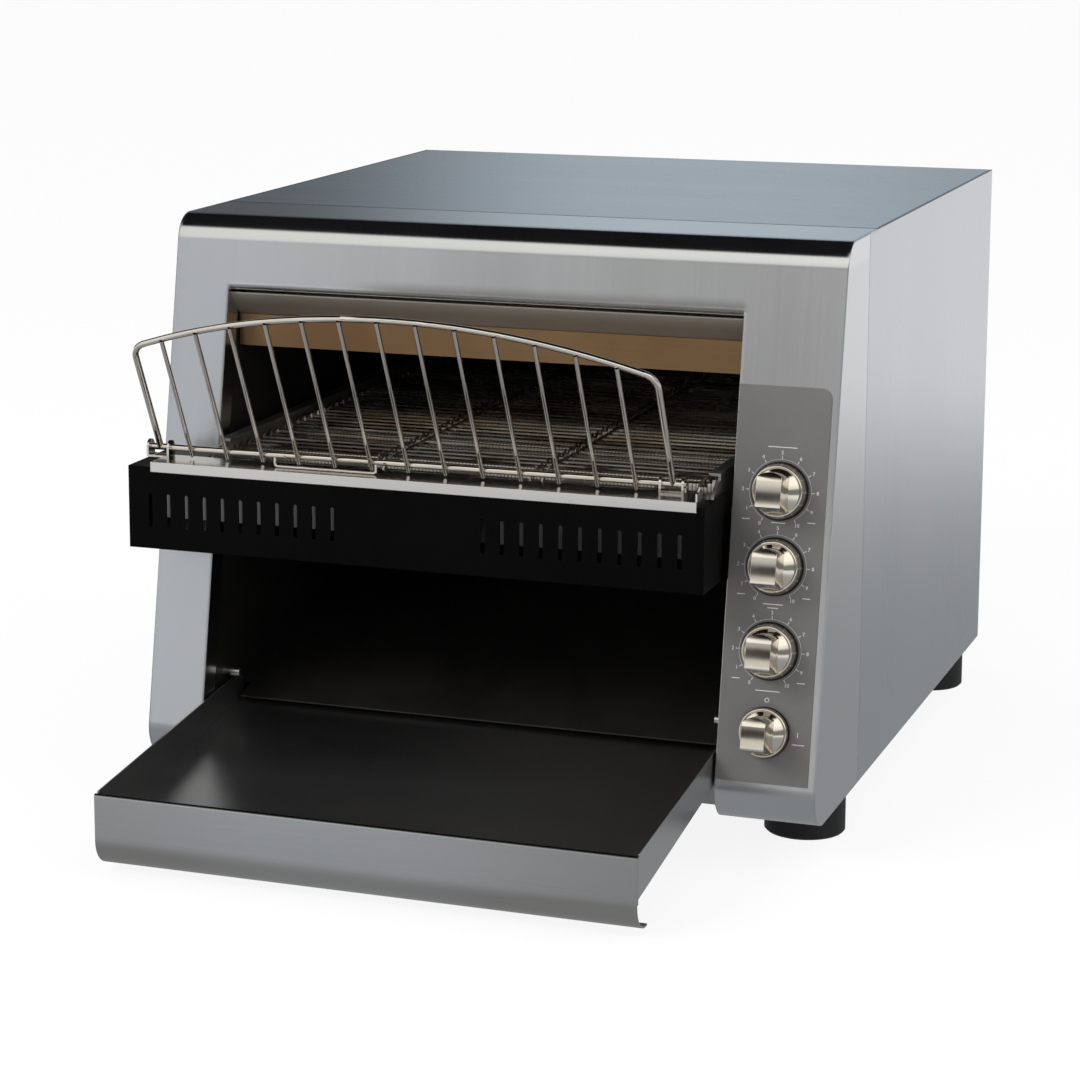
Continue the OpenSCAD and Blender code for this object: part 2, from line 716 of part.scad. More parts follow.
tooth_root_a = 180 / belt_teeth - asin((belt_wire_r + wire_gap) / belt_r);
module belt_sprocket_side() difference() {
    tip_r = belt_r + 2.7;
    tip_a = 6;
    union() {
        circle(wheel_r);
        for (i = [0:belt_teeth - 1]) rotate(90 + (i + 0.5) * 360 / belt_teeth) polygon([
            for (q = [[wheel_r - 1, -tooth_root_a], [belt_r, -tooth_root_a], [tip_r, -tip_a],
                [tip_r, tip_a], [belt_r, tooth_root_a], [wheel_r - 1, tooth_root_a]])
            q[0] * [cos(q[1]), sin(q[1])]
        ]);
    }
    circle(shaft_r);
}

module belt_sprockets() color("gray") at_body() at_wheels() translate([0, drive_y, belt_z]) {
    side_view(-3, 3) belt_sprocket_side();
    side_view(3, 9) difference() {
        circle(shaft_r + 4);
        circle(shaft_r);
    }
}

module idler_rollers() color("gray") at_body() at_wheels() translate([0, idler_y, belt_z])
    side_view(-7, 7) difference() {
        circle(wheel_r);
        circle(shaft_r);
    }

// Chain drive, drawn with +X from the drive shaft to the motor.
module chain_side() translate([drive_y, belt_z]) rotate(chain_angle) children();
module racetrack(r, c) {
    circle(r);
    translate([c, 0]) circle(r);
    translate([0, -r]) square([c, 2 * r]);
}
chain_c = chain_spans * chain_pitch;
chain_step = 360 / chain_teeth;
chain_rollers = concat(
    [for (i = [1:chain_spans]) [i * chain_pitch, chain_r]],
    [for (i = [1:floor(chain_teeth / 2)])
        [chain_c + chain_r * sin(i * chain_step), chain_r * cos(i * chain_step)]],
    [for (i = [0:chain_spans - 1]) [chain_c - (i + 0.5) * chain_pitch, -chain_r]],
    [for (i = [0:floor(chain_teeth / 2)]) [-chain_r * sin(i * chain_step), chain_r * cos(i * chain_step)]]
);

module drive_chain() color("dimgray") at_body() {
    for (s = [-1, 1]) {
        x = chain_x + s * (chain_gap + chain_plate) / 2;
        side_view(x - chain_plate / 2, x + chain_plate / 2) chain_side() difference() {
            racetrack(chain_r + chain_depth / 2, chain_c);
            racetrack(chain_r - chain_depth / 2, chain_c);
        }
    }
    side_view(chain_x - chain_gap / 2, chain_x + chain_gap / 2) chain_side()
        for (q = chain_rollers) translate(q) circle(roller_r);
}

// Side view of a chain sprocket whose tooth gaps lie at a0 plus whole steps.
module chain_sprocket_side(a0) difference() {
    seat = roller_r + 0.15;
    circle(chain_r + 1.4);
    for (i = [0:chain_teeth - 1]) rotate(a0 + i * chain_step) {
        translate([chain_r, 0]) circle(seat);
        polygon([[chain_r, -seat], [chain_r + 2, -seat - 0.5], [chain_r + 2, seat + 0.5], [chain_r, seat]]);
    }
}

module shaft_sprocket() color("gray") at_body() difference() {
    union() {
        side_view(chain_x - sprocket_t / 2, chain_x + sprocket_t / 2) chain_side() chain_sprocket_side(90);
        bar_x(chain_x - 6, chain_x, drive_y, belt_z, shaft_r + 4);
    }
    bar_x(chain_x - 7, chain_x + 3, drive_y, belt_z, shaft_r);
}

motor_shaft_r = 4;
motor_shaft_x = motor_plate_x + 20;
module motor_sprocket() color("gray") at_body() {
    side_view(chain_x - sprocket_t / 2, chain_x + sprocket_t / 2)
        translate([motor_y, motor_z]) rotate(chain_angle) chain_sprocket_side(90);
    bar_x(chain_x, motor_plate_x - 1, motor_y, motor_z, motor_shaft_r + 3);
    bar_x(chain_x, motor_shaft_x, motor_y, motor_z, motor_shaft_r);
}

module gearmotor() color("darkgray") at_body() {
    x0 = motor_plate_x + 2;
    difference() {
        union() {
            block([x0, motor_y - 32, motor_z - 26], [x0 + 20, motor_y + 32, motor_z + 28]);
            block([x0 + 20, motor_y - 30, motor_z - 22], [x0 + 38, motor_y + 14, motor_z + 26]);
        }
        bar_x(x0 - cut, motor_shaft_x + 0.3, motor_y, motor_z, motor_shaft_r + running);
    }
    // stator coil across the laminations
    block([x0 + 21, motor_y + 14, motor_z - 14], [x0 + 37, motor_y + 28, motor_z + 18]);
}

module motor_bracket() color("silver") at_body() {
    x0 = open_x1 + 2 * sheet;
    x1 = motor_plate_x;
    difference() {
        block([x1, motor_y - 38, motor_z - 40], [x1 + 2, motor_y + 36, motor_z + 34]);
        bar_x(x1 - cut, x1 + 3, motor_y, motor_z, motor_shaft_r + 5);
    }
    block([x0, motor_y - 38, motor_z - 40], [x1, motor_y + 36, motor_z - 38]);
    block([x0, motor_y - 38, motor_z - 60], [x0 + 2, motor_y + 36, motor_z - 38]);
    block([x0, motor_y - 38, motor_z - 40], [x1, motor_y - 36, motor_z + 34]);
    block([x0, motor_y - 56, motor_z - 40], [x0 + 2, motor_y - 36, motor_z + 34]);
}

// ---------- heaters and chamber ----------

module heater_rods(ys, z) for (y = ys)
    bar_x(open_cx - chamber_half - 4, open_cx + chamber_half + 4, y, z, heater_r);

module upper_heaters() color("ivory") at_body() heater_rods(upper_heater_ys, upper_heater_z);

module lower_heaters() color("ivory") at_body() heater_rods(lower_heater_ys, belt_z);

// A ceramic cap on the end of a heater, from x0 inside the chamber to its closed end outside.
module heater_cap(x0, y, z) difference() {
    bar_x(x0, chamber_half + 8, y, z, heater_cap_r);
    bar_x(x0 - cut, chamber_half + 4, y, z, heater_r);
}

module heater_caps() color("white") at_body() for (m = [0, 1]) conveyor_side(m == 1) {
    for (y = upper_heater_ys) heater_cap(chamber_half - 5, y, upper_heater_z);
    for (y = lower_heater_ys) heater_cap(rail_out - rail_t - 1.5, y, belt_z);
}

reflector_z = 316;
module upper_reflector() color("lightgray") at_body() {
    x0 = open_cx - chamber_half;
    x1 = open_cx + chamber_half;
    y0 = 92;
    block([x0, y0, reflector_z], [x1, deflector_y, reflector_z + sheet]);
    block([x0, y0, reflector_z - 14], [x1, y0 + sheet, reflector_z]);
    for (y = [for (i = [0:3]) (upper_heater_ys[i] + upper_heater_ys[i + 1]) / 2])
        side_view(x0, x1) polygon([[y - 8, reflector_z], [y, reflector_z - 7], [y + 8, reflector_z]]);
}

module lower_reflector() color("lightgray") at_body() {
    x1 = rail_out - rail_t;
    z = belt_z - belt_r + tip_drop + belt_wire_r + 1.5;
    y0 = idler_y + 32;
    y1 = drive_y - 32;
    translate([open_cx, 0, 0]) {
        block([-x1, y0, z], [x1, y1, z + sheet]);
        for (y = [y0, y1 - sheet]) block([-x1 + 4, y, z], [x1 - 4, y + sheet, z + 8]);
    }
}

module insulation() color("khaki") at_body()
    block(
        [open_cx - chamber_half, 92, reflector_z + sheet],
        [open_cx + chamber_half, deflector_y, chamber_h - sheet]
    );

module feed_baffle() color("saddlebrown") at_body()
    side_view(open_x0, open_x1)
        bent_sheet([[64.5, 321.4], [79, 305], [79, 284], [91, 284], [91, 291]], -sheet);

// A wall of the heated chamber, from just behind the face to the rear, at x0.
module chamber_wall(x0, through) difference() {
    gap = 0.4;
    side_view(x0, x0 + sheet) difference() {
        body_side(sheet + gap, chamber_back);
        translate([-cut, chamber_h]) square([body_d, body_h]);
    }
    for (y = upper_heater_ys) bar_x(x0 - cut, x0 + sheet + cut, y, upper_heater_z, heater_cap_r);
    for (y = lower_heater_ys) bar_x(x0 - cut, x0 + sheet + cut, y, belt_z, heater_cap_r);
    if (through) bar_x(x0 - cut, x0 + sheet + cut, drive_y, belt_z, shaft_r + 3);
}

module chamber_wall_left() color("dimgray") at_body() chamber_wall(open_x0 - 2 * sheet, false);

module chamber_wall_right() color("dimgray") at_body() chamber_wall(open_x1 + sheet, true);

module rear_deflector() color("gray") at_body() {
    z0 = ramp_z + (ramp_end_y - ramp_y) * tan(ramp_slope) + ramp_arc_r * cos(ramp_slope);
    x0 = open_cx - chamber_half;
    x1 = open_cx + chamber_half;
    block([x0, deflector_y, z0 - 14], [x1, deflector_y + sheet, chamber_h]);
    block([x0, deflector_y - 12, chamber_h - sheet], [x1, deflector_y, chamber_h]);
}

module return_ramp() color("gray") at_body() {
    end = [ramp_end_y, ramp_z + (ramp_end_y - ramp_y) * tan(ramp_slope)];
    middle = end + ramp_arc_r * [-sin(ramp_slope), cos(ramp_slope)];
    steps = 10;
    x0 = open_cx - chamber_half;
    x1 = open_cx + chamber_half;
    notch = 6;
    difference() {
        side_view(x0, x1) bent_sheet(concat(
            [[ramp_y, ramp_z]],
            [for (i = [0:steps]) let(a = (ramp_slope - 90) * (1 - i / steps))
                middle + ramp_arc_r * [cos(a), sin(a)]]
        ));
        for (x = [x0 - cut, x1 - notch]) translate([x, ramp_y - cut, 0]) cube([notch + cut, 20, 80]);
    }
}

// ---------- toast tray ----------

tray_x0 = open_x0 + tray_gap;
tray_x1 = open_x1 - tray_gap;
tray_y = -tray_reach;
hem_r = 1.6;
hem_gap = 0.4;
function tray_floor(y) = tray_floor_z + (y - tray_y) * tan(tray_slope);
function tray_wall(y) = tray_front_z + (y - tray_y) * tan(tray_wall_slope);

module toast_tray() color("silver") at_body() {
    hem_y = tray_y + hem_r;
    hem_z = tray_front_z - hem_r;
    curl_z = tray_floor_z - tray_drop;
    inner_y = tray_y + 2 * hem_r - sheet;
    wall_y = inner_y + sheet / 2;
    notch_y = inner_y + 2 * sheet;
    side_view(tray_x0, tray_x1) {
        // floor
        polygon([
            [inner_y, tray_floor(inner_y)], [tray_inside, tray_floor(tray_inside)],
            [tray_inside, tray_floor(tray_inside) + sheet], [inner_y, tray_floor(inner_y) + sheet]
        ]);
        // fascia folded over into the inner front wall, and the curl below
        difference() {
            union() {
                translate([tray_y, curl_z]) square([2 * hem_r, hem_z - curl_z]);
                circle_at([hem_y, hem_z], hem_r);
            }
            circle_at([hem_y, hem_z], hem_gap);
            translate([hem_y - hem_gap, curl_z - cut]) square([2 * hem_gap, hem_z - curl_z + cut]);
        }
        translate([tray_y + tray_curl_r, curl_z]) quarter_ring(tray_curl_r, tray_curl_r - sheet, 2);
        translate([tray_y + tray_curl_r, curl_z - tray_curl_r]) square([3, sheet]);
    }
    // sides, with a relief notch behind the hem
    for (x = [tray_x0, tray_x1 - sheet]) side_view(x, x + sheet) polygon([
        [wall_y, tray_floor(wall_y)], [tray_inside, tray_floor(tray_inside)],
        [tray_inside, tray_wall(tray_inside) - 6], [tray_inside - 6, tray_wall(tray_inside - 6)],
        [notch_y, tray_wall(notch_y)], [notch_y, hem_z - hem_gap], [wall_y, hem_z - hem_gap]
    ]);
}

module tray_studs() color("gainsboro") at_body() for (m = [0, 1]) conveyor_side(m == 1)
    bar_x(chamber_half - stud_len, chamber_half, stud_y, stud_z, stud_r);

// Rails on the chamber walls that carry the tray's floor.
tray_air = 0.1;
function tray_rail(y) = tray_floor(y) - tray_air;
module tray_rails() color("dimgray") at_body() for (m = [0, 1]) conveyor_side(m == 1) {
    y0 = 14;
    y1 = tray_inside + 8;
    past_flange = toe_y + 2;
    for (leg = [
        [chamber_half - 10, chamber_half - sheet, sheet, y0],
        [chamber_half - sheet, chamber_half, 9, past_flange]
    ]) side_view(leg[0], leg[1]) polygon([
        [leg[3], tray_rail(leg[3]) - leg[2]], [y1, tray_rail(y1) - leg[2]],
        [y1, tray_rail(y1)], [leg[3], tray_rail(leg[3])]
    ]);
}

// ---------- fan and cable entry ----------

fan_y = body_d - sheet - fan_depth;
module at_fan() translate([fan_x, fan_y, fan_z]) rotate([-90, 0, 0]) children();

module fan_frame() color("black") at_body() at_fan() {
    difference() {
        translate([-fan_size / 2, -fan_size / 2, 0]) cube([fan_size, fan_size, fan_depth]);
        translate([0, 0, -cut]) cylinder(r = fan_hole_r, h = fan_depth + 2 * cut);
        for (x = [-25, 25]) for (y = [-25, 25]) translate([x, y, -cut])
            cylinder(r = 2.2, h = fan_depth + 2 * cut);
    }
    translate([0, 0, fan_depth - 4]) cylinder(r = 13, h = 4);
    for (a = [0:90:270]) rotate(a + 45) translate([12, -1.5, fan_depth - 3]) cube([fan_hole_r - 11.5, 3, 3]);
    translate([0, 0, 4]) cylinder(r = 1.5, h = fan_depth - 8);
}

module fan_rotor() color("dimgray") at_body() at_fan() {
    blades = 7;
    hub_h = 18;
    difference() {
        union() {
            translate([0, 0, 2]) cylinder(r = 12.5, h = hub_h);
            for (i = [0:blades - 1]) rotate(i * 360 / blades) translate([0, 0, 11]) rotate([38, 0, 0])
                translate([11, -8, -0.6]) cube([16, 16, 1.2]);
        }
        translate([0, 0, 3.7]) cylinder(r = 1.5 + running, h = hub_h);
    }
}

module fan_grille() color("gainsboro") at_body() translate([fan_x, body_d, fan_z]) rotate([-90, 0, 0]) {
    wire = 0.9;
    for (r = [8, 14, 20, 26]) translate([0, 0, 2.4 * wire]) rotate_extrude() translate([r, 0]) circle(wire);
    for (a = [45:90:315]) rotate(a) {
        translate([7, 0, wire]) rotate([0, 90, 0]) cylinder(r = wire, h = 26);
        translate([35.4, 0, 0]) difference() {
            cylinder(r = 4, h = 1.2);
            translate([0, 0, -cut]) cylinder(r = 2, h = 4);
        }
    }
}

module cord_gland() color("black") at_body() translate([gland_x, body_d, gland_z]) rotate([-90, 0, 0])
    difference() {
        union() {
            translate([0, 0, -sheet - 8]) cylinder(r = 8, h = sheet + 8);
            translate([0, 0, -sheet - 4.5]) cylinder(r = 12, h = 4.5, $fn = 6);
            cylinder(r = 13, h = 5, $fn = 6);
            translate([0, 0, 5]) cylinder(r1 = 10.5, r2 = 8, h = gland_out - 5);
        }
        translate([0, 0, -sheet - 9]) cylinder(r = 4.5, h = gland_out + sheet + 10);
    }

module terminal_block() color("beige") at_body() translate([half_w - 51, body_d - 52, sheet]) difference() {
    union() {
        cube([38, 20, 9]);
        translate([0, 5, 0]) cube([38, 10, 16]);
    }
    for (i = [0:2]) for (y = [3, 17]) translate([7 + i * 12, y, 3]) cylinder(r = 1.6, h = 20);
    for (i = [0:2]) translate([7 + i * 12, -cut, 5]) rotate([-90, 0, 0]) cylinder(r = 1.4, h = 22);
}

// ---------- controls ----------

// Behind the panel: a housing of the given size and the threaded bush, bored for its spindle.
module control_body(v, size) on_face(knob_x, v) difference() {
    union() {
        translate([-size[0] / 2, -size[1] / 2, -sheet - size[2]]) cube(size);
        translate([0, 0, -sheet]) cylinder(r = bush_out_r, h = sheet + overlay_t + 4.4);
    }
    translate([0, 0, -12.3]) cylinder(r = spindle_r + running, h = 30);
}

module speed_control() color("seagreen") at_body() {
    on_face(knob_x, speed_v) difference() {
        union() {
            translate([0, 0, -sheet - 13]) cylinder(r = 13, h = 13);
            translate([0, 0, -sheet]) cylinder(r = bush_out_r, h = sheet + overlay_t + 4.4);
            translate([-22, -21, -sheet - 14.6]) cube([44, 42, 1.6]);
            for (x = [-17, 5]) translate([x, -18, -sheet - 26]) cube([11, 14, 11.4]);
        }
        translate([0, 0, -12.3]) cylinder(r = spindle_r + running, h = 30);
    }
}

module top_heat_switch() color("black") at_body() control_body(top_heat_v, [32, 34, 26]);

module bottom_heat_switch() color("black") at_body() control_body(bottom_heat_v, [32, 34, 26]);

module power_switch() color("black") at_body() control_body(power_v, [36, 36, 32]);

module control_nuts() color("gainsboro") at_body() for (v = knob_vs) on_face(knob_x, v)
    translate([0, 0, overlay_t]) difference() {
        cylinder(r = 8, h = 2.6, $fn = 6);
        translate([0, 0, -cut]) cylinder(r = bush_out_r, h = 5);
    }

module spindle(v) on_face(knob_x, v) translate([0, 0, -12])
    cylinder(r = spindle_r, h = 12 + spindle_len);

module speed_spindle() color("silver") at_body() spindle(speed_v);

module top_heat_spindle() color("silver") at_body() spindle(top_heat_v);

module bottom_heat_spindle() color("silver") at_body() spindle(bottom_heat_v);

module power_spindle() color("silver") at_body() spindle(power_v);

// A plated knob: a flared skirt with a raised rim, a dome inside it, and a bar to grip that is
// arched at one end.
module knob(v, r, flare, rim_h, bar_w) on_face(knob_x, v) translate([0, 0, overlay_t + knob_air]) {
    recess_r = 10.5;
    recess_h = 5;
    rim_w = 1.6;
    dish_h = rim_h - 0.8;
    dome_h = 5;
    top_r = r - flare;
    well_r = top_r - rim_w;
    dome_r = (well_r * well_r + dome_h * dome_h) / (2 * dome_h);
    bar_foot = well_r - 0.4;
    bar_arch = well_r - 2.6;
    h = knob_h;
    difference() {
        union() {
            rotate_extrude() {
                polygon([[0, 0], [r, 0], [r, 1], [top_r, rim_h - rim_w / 2], [0, rim_h - rim_w / 2]]);
                difference() {
                    translate([top_r - rim_w / 2, rim_h - rim_w / 2]) circle(rim_w / 2);
                    translate([0, -cut]) square([2 * r, rim_h - rim_w / 2 + cut]);
                }
                intersection() {
                    translate([0, dish_h + dome_h - dome_r]) circle(dome_r);
                    square([well_r, dish_h + dome_h]);
                }
            }
            intersection() {
                translate([-bar_w / 2, -bar_foot, 0]) cube([bar_w, bar_foot + bar_arch, h]);
                union() {
                    cylinder(r = bar_arch, h = h);
                    translate([-bar_w, -2 * r, 0]) cube([2 * bar_w, 2 * r, h]);
                }
                rotate([0, 90, 0]) translate([0, 0, -bar_w]) linear_extrude(2 * bar_w) polygon([
                    [0, -bar_foot], [-rim_h, -bar_foot], [-h + 1, -bar_foot + 2.6], [-h, -bar_foot + 3.6],
                    [-h, bar_arch - 5.5], [-h + 3, bar_arch - 1.2], [0, bar_arch]
                ]);
                cylinder(r = well_r, h = h);
            }
        }
        translate([0, 0, -cut]) cylinder(r = recess_r, h = recess_h + cut);
        translate([0, 0, -cut]) cylinder(r = spindle_r, h = spindle_len - overlay_t - knob_air + cut);
    }
}

module speed_knob() color("wheat") at_body() knob(speed_v, knob_r, 2.3, 9, 16.5);

module top_heat_knob() color("wheat") at_body() knob(top_heat_v, knob_r, 2.3, 9, 16.5);

module bottom_heat_knob() color("wheat") at_body() knob(bottom_heat_v, knob_r, 2.3, 9, 16.5);

module power_knob() color("wheat") at_body() knob(power_v, power_knob_r, 0.8, 6, 15.5);

front_bezel();
control_overlay();
top_cover();
side_cover_left();
side_cover_right();
rear_panel();
base_pan();
feet();
foot_screws();
burn_guard();
guard_shield();
feed_shelf();
rack_clips();
load_rack();
conveyor_rail_left();
conveyor_rail_right();
shaft_bushes();
wire_belt();
drive_shaft();
belt_sprockets();
idler_shaft();
idler_rollers();
shaft_sprocket();
drive_chain();
motor_sprocket();
gearmotor();
motor_bracket();
upper_heaters();
lower_heaters();
heater_caps();
upper_reflector();
lower_reflector();
insulation();
feed_baffle();
chamber_wall_left();
chamber_wall_right();
rear_deflector();
return_ramp();
toast_tray();
tray_studs();
tray_rails();
fan_frame();
fan_rotor();
fan_grille();
speed_control();
top_heat_switch();
bottom_heat_switch();
power_switch();
control_nuts();
speed_spindle();
top_heat_spindle();
bottom_heat_spindle();
power_spindle();
speed_knob();
top_heat_knob();
bottom_heat_knob();
power_knob();
terminal_block();
cord_gland();
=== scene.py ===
"""Looks for a countertop conveyor toaster: finishes for its sheet metal, wire work, belt and controls."""

from __future__ import annotations

import json
import logging
import math
from dataclasses import dataclass, field
from enum import Enum

import bmesh
import bpy
from mathutils import Matrix, Vector

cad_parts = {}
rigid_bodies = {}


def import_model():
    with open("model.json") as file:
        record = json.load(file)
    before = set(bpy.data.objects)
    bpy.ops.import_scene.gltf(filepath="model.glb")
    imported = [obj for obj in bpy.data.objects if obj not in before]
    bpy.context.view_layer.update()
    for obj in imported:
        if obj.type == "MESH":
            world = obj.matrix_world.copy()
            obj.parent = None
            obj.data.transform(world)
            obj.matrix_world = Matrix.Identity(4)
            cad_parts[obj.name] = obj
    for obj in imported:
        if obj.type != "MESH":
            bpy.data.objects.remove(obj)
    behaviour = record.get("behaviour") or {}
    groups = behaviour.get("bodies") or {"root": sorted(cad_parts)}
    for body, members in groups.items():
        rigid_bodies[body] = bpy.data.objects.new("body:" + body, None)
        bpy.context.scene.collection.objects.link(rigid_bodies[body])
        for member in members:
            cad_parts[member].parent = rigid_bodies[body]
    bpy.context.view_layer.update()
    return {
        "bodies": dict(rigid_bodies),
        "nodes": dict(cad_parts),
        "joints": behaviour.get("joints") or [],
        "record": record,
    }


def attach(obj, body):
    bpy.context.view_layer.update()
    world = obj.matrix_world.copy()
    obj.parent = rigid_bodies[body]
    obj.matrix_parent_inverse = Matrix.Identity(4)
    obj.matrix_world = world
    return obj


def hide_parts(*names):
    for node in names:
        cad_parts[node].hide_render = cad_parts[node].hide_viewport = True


LOG = logging.getLogger("toaster")
MM = 0.001
Colour = tuple[float, float, float]
Triple = tuple[float, float, float]
WHITE: Colour = (1.0, 1.0, 1.0)

# The leaning face: its angle from upright, and the y and z of its foot.
FACE_LEAN_DEG = 10.43
FACE_FOOT = (-0.1995, 0.025)

# Sockets of the Mix node that carry colours.
MIX_LOW, MIX_HIGH, MIX_OUT = 6, 7, 2

BEVEL_SAMPLES = 8
RELIEF_DEPTH = 0.4 * MM
MERGE_DISTANCE = 1e-6
FOUR_SIDED = 4

# A screw head: sides, top radius and edge round as shares, and where and how large its recess is.
HEAD_SIDES = 20
HEAD_TAPER = 0.82
HEAD_ROUND = 0.35
RECESS_AT = 0.985
RECESS_SHARES = (1.1, 0.22, 0.06)

# Panel print: its thickness, and the type size that gives a character of unit height.
PRINT_FILM = 0.00006
TYPE_SCALE = 1.38


class Grain(Enum):
    """Scale of a brushing pattern on each axis, in cycles a metre.

    It is fine across the strokes and slow along them.
    """

    UP_FACE = (900.0, 4.0, 4.0)
    UP_SIDE = (4.0, 900.0, 4.0)
    ALONG_X = (4.0, 700.0, 700.0)
    TURNED = (700.0, 6.0, 6.0)
    NONE = (60.0, 60.0, 60.0)


class Value:
    """A number that runs over a surface: a node socket with the ordinary operators."""

    def __init__(self, graph: NodeGraph, socket: bpy.types.NodeSocket) -> None:
        """Keeps the socket and the graph it belongs to.

        Args:
            graph: The graph that new maths nodes go into.
            socket: The output socket that carries the number.
        """
        self.graph = graph
        self.socket = socket

    def _math(self, operation: str, *values: Value | float) -> Value:
        """Adds one maths node.

        Args:
            operation: The node's operation.
            values: Its inputs in order.

        Returns:
            The result as a new value.
        """
        node = self.graph.node("ShaderNodeMath", {"operation": operation}, dict(enumerate(values)))
        return Value(self.graph, node.outputs[0])

    def __add__(self, other: Value | float) -> Value:
        """Sum of two values."""
        return self._math("ADD", self, other)

    __radd__ = __add__

    def __sub__(self, other: Value | float) -> Value:
        """Difference of two values."""
        return self._math("SUBTRACT", self, other)

    def __rsub__(self, other: Value | float) -> Value:
        """Difference taken from a plain number."""
        return self._math("SUBTRACT", other, self)

    def __mul__(self, other: Value | float) -> Value:
        """Product of two values."""
        return self._math("MULTIPLY", self, other)

    __rmul__ = __mul__

    def __gt__(self, other: Value | float) -> Value:
        """One where this value is the greater, else zero."""
        return self._math("GREATER_THAN", self, other)

    def __abs__(self) -> Value:
        """Size without its sign."""
        return self._math("ABSOLUTE", self)

    def sine(self) -> Value:
        """Sine of an angle in radians."""
        return self._math("SINE", self)

    def clamp(self) -> Value:
        """Value held between zero and one."""
        node = self.graph.node("ShaderNodeClamp", {}, {"Value": self})
        return Value(self.graph, node.outputs[0])

    def ramp(self, low: float, high: float, out: tuple[float, float] = (0.0, 1.0)) -> Value:
        """Smooth step from low to high.

        Args:
            low: Where the step starts.
            high: Where it ends.
            out: The values before and after the step.

        Returns:
            The stepped value.
        """
        node = self.graph.node(
            "ShaderNodeMapRange",
            {"interpolation_type": "SMOOTHSTEP"},
            {"Value": self, "From Min": low, "From Max": high, "To Min": out[0], "To Max": out[1]},
        )
        return Value(self.graph, node.outputs[0])


class NodeGraph:
    """A node tree under construction, emptied first."""

    def __init__(self, tree: bpy.types.NodeTree) -> None:
        """Takes a tree and clears it.

        Args:
            tree: The material's or world's node tree.
        """
        self.tree = tree
        tree.nodes.clear()

    def node(self, kind: str, settings: dict[str, object], inputs: dict[str | int, object]) -> bpy.types.Node:
        """Adds a node.

        Args:
            kind: The node's type.
            settings: Attributes set before its sockets, such as an operation. "stops" fills a colour ramp.
            inputs: Values, colours, sockets or Value objects for its input sockets, by name or number.

        Returns:
            The new node.
        """
        made = self.tree.nodes.new(kind)
        for name, value in settings.items():
            if name == "stops":
                self._fill_ramp(made, value)
            else:
                setattr(made, name, value)
        for key, value in inputs.items():
            socket = made.inputs[key]
            if isinstance(value, Value):
                value = value.socket
            if isinstance(value, bpy.types.NodeSocket):
                self.tree.links.new(value, socket)
            elif isinstance(value, tuple) and len(value) == 3 and socket.type == "RGBA":
                socket.default_value = (*value, 1.0)
            else:
                socket.default_value = value
        return made

    @staticmethod
    def _fill_ramp(made: bpy.types.Node, stops: list[tuple[float, Colour]]) -> None:
        """Sets the stops of a colour ramp.

        Args:
            made: The colour ramp node.
            stops: Positions with their colours.
        """
        elements = made.color_ramp.elements
        while len(elements) < len(stops):
            elements.new(1.0)
        for element, (position, colour) in zip(elements, stops):
            element.position = position
            element.color = (*colour, 1.0)

    def place(self, scale: Triple) -> bpy.types.NodeSocket:
        """Object coordinates stretched by a scale on each axis."""
        coordinates = self.node("ShaderNodeTexCoord", {}, {}).outputs["Object"]
        return self.node("ShaderNodeMapping", {}, {"Vector": coordinates, "Scale": scale}).outputs[0]

    def axis(self, name: str) -> Value:
        """One component of the object coordinates, in metres."""
        coordinates = self.node("ShaderNodeTexCoord", {}, {}).outputs["Object"]
        return Value(self, self.node("ShaderNodeSeparateXYZ", {}, {"Vector": coordinates}).outputs[name])

    def noise(self, scale: Triple, detail: float = 2.0, roughness: float = 0.5) -> Value:
        """Fractal noise between zero and one.

        Args:
            scale: Cycles a metre on each axis.
            detail: Octaves of finer noise.
            roughness: Weight of the finer octaves.

        Returns:
            The noise as a value.
        """
        inputs = {"Vector": self.place(scale), "Scale": 1.0, "Detail": detail, "Roughness": roughness}
        return Value(self, self.node("ShaderNodeTexNoise", {}, inputs).outputs[0])

    def blend(
        self, mask: Value, low: Colour | bpy.types.NodeSocket, high: Colour | bpy.types.NodeSocket
    ) -> bpy.types.NodeSocket:
        """Colour that runs from low to high by a mask.

        Args:
            mask: Zero gives low, one gives high.
            low: The first colour.
            high: The second colour.

        Returns:
            The colour socket.
        """
        made = self.node("ShaderNodeMix", {"data_type": "RGBA"}, {0: mask, MIX_LOW: low, MIX_HIGH: high})
        return made.outputs[MIX_OUT]


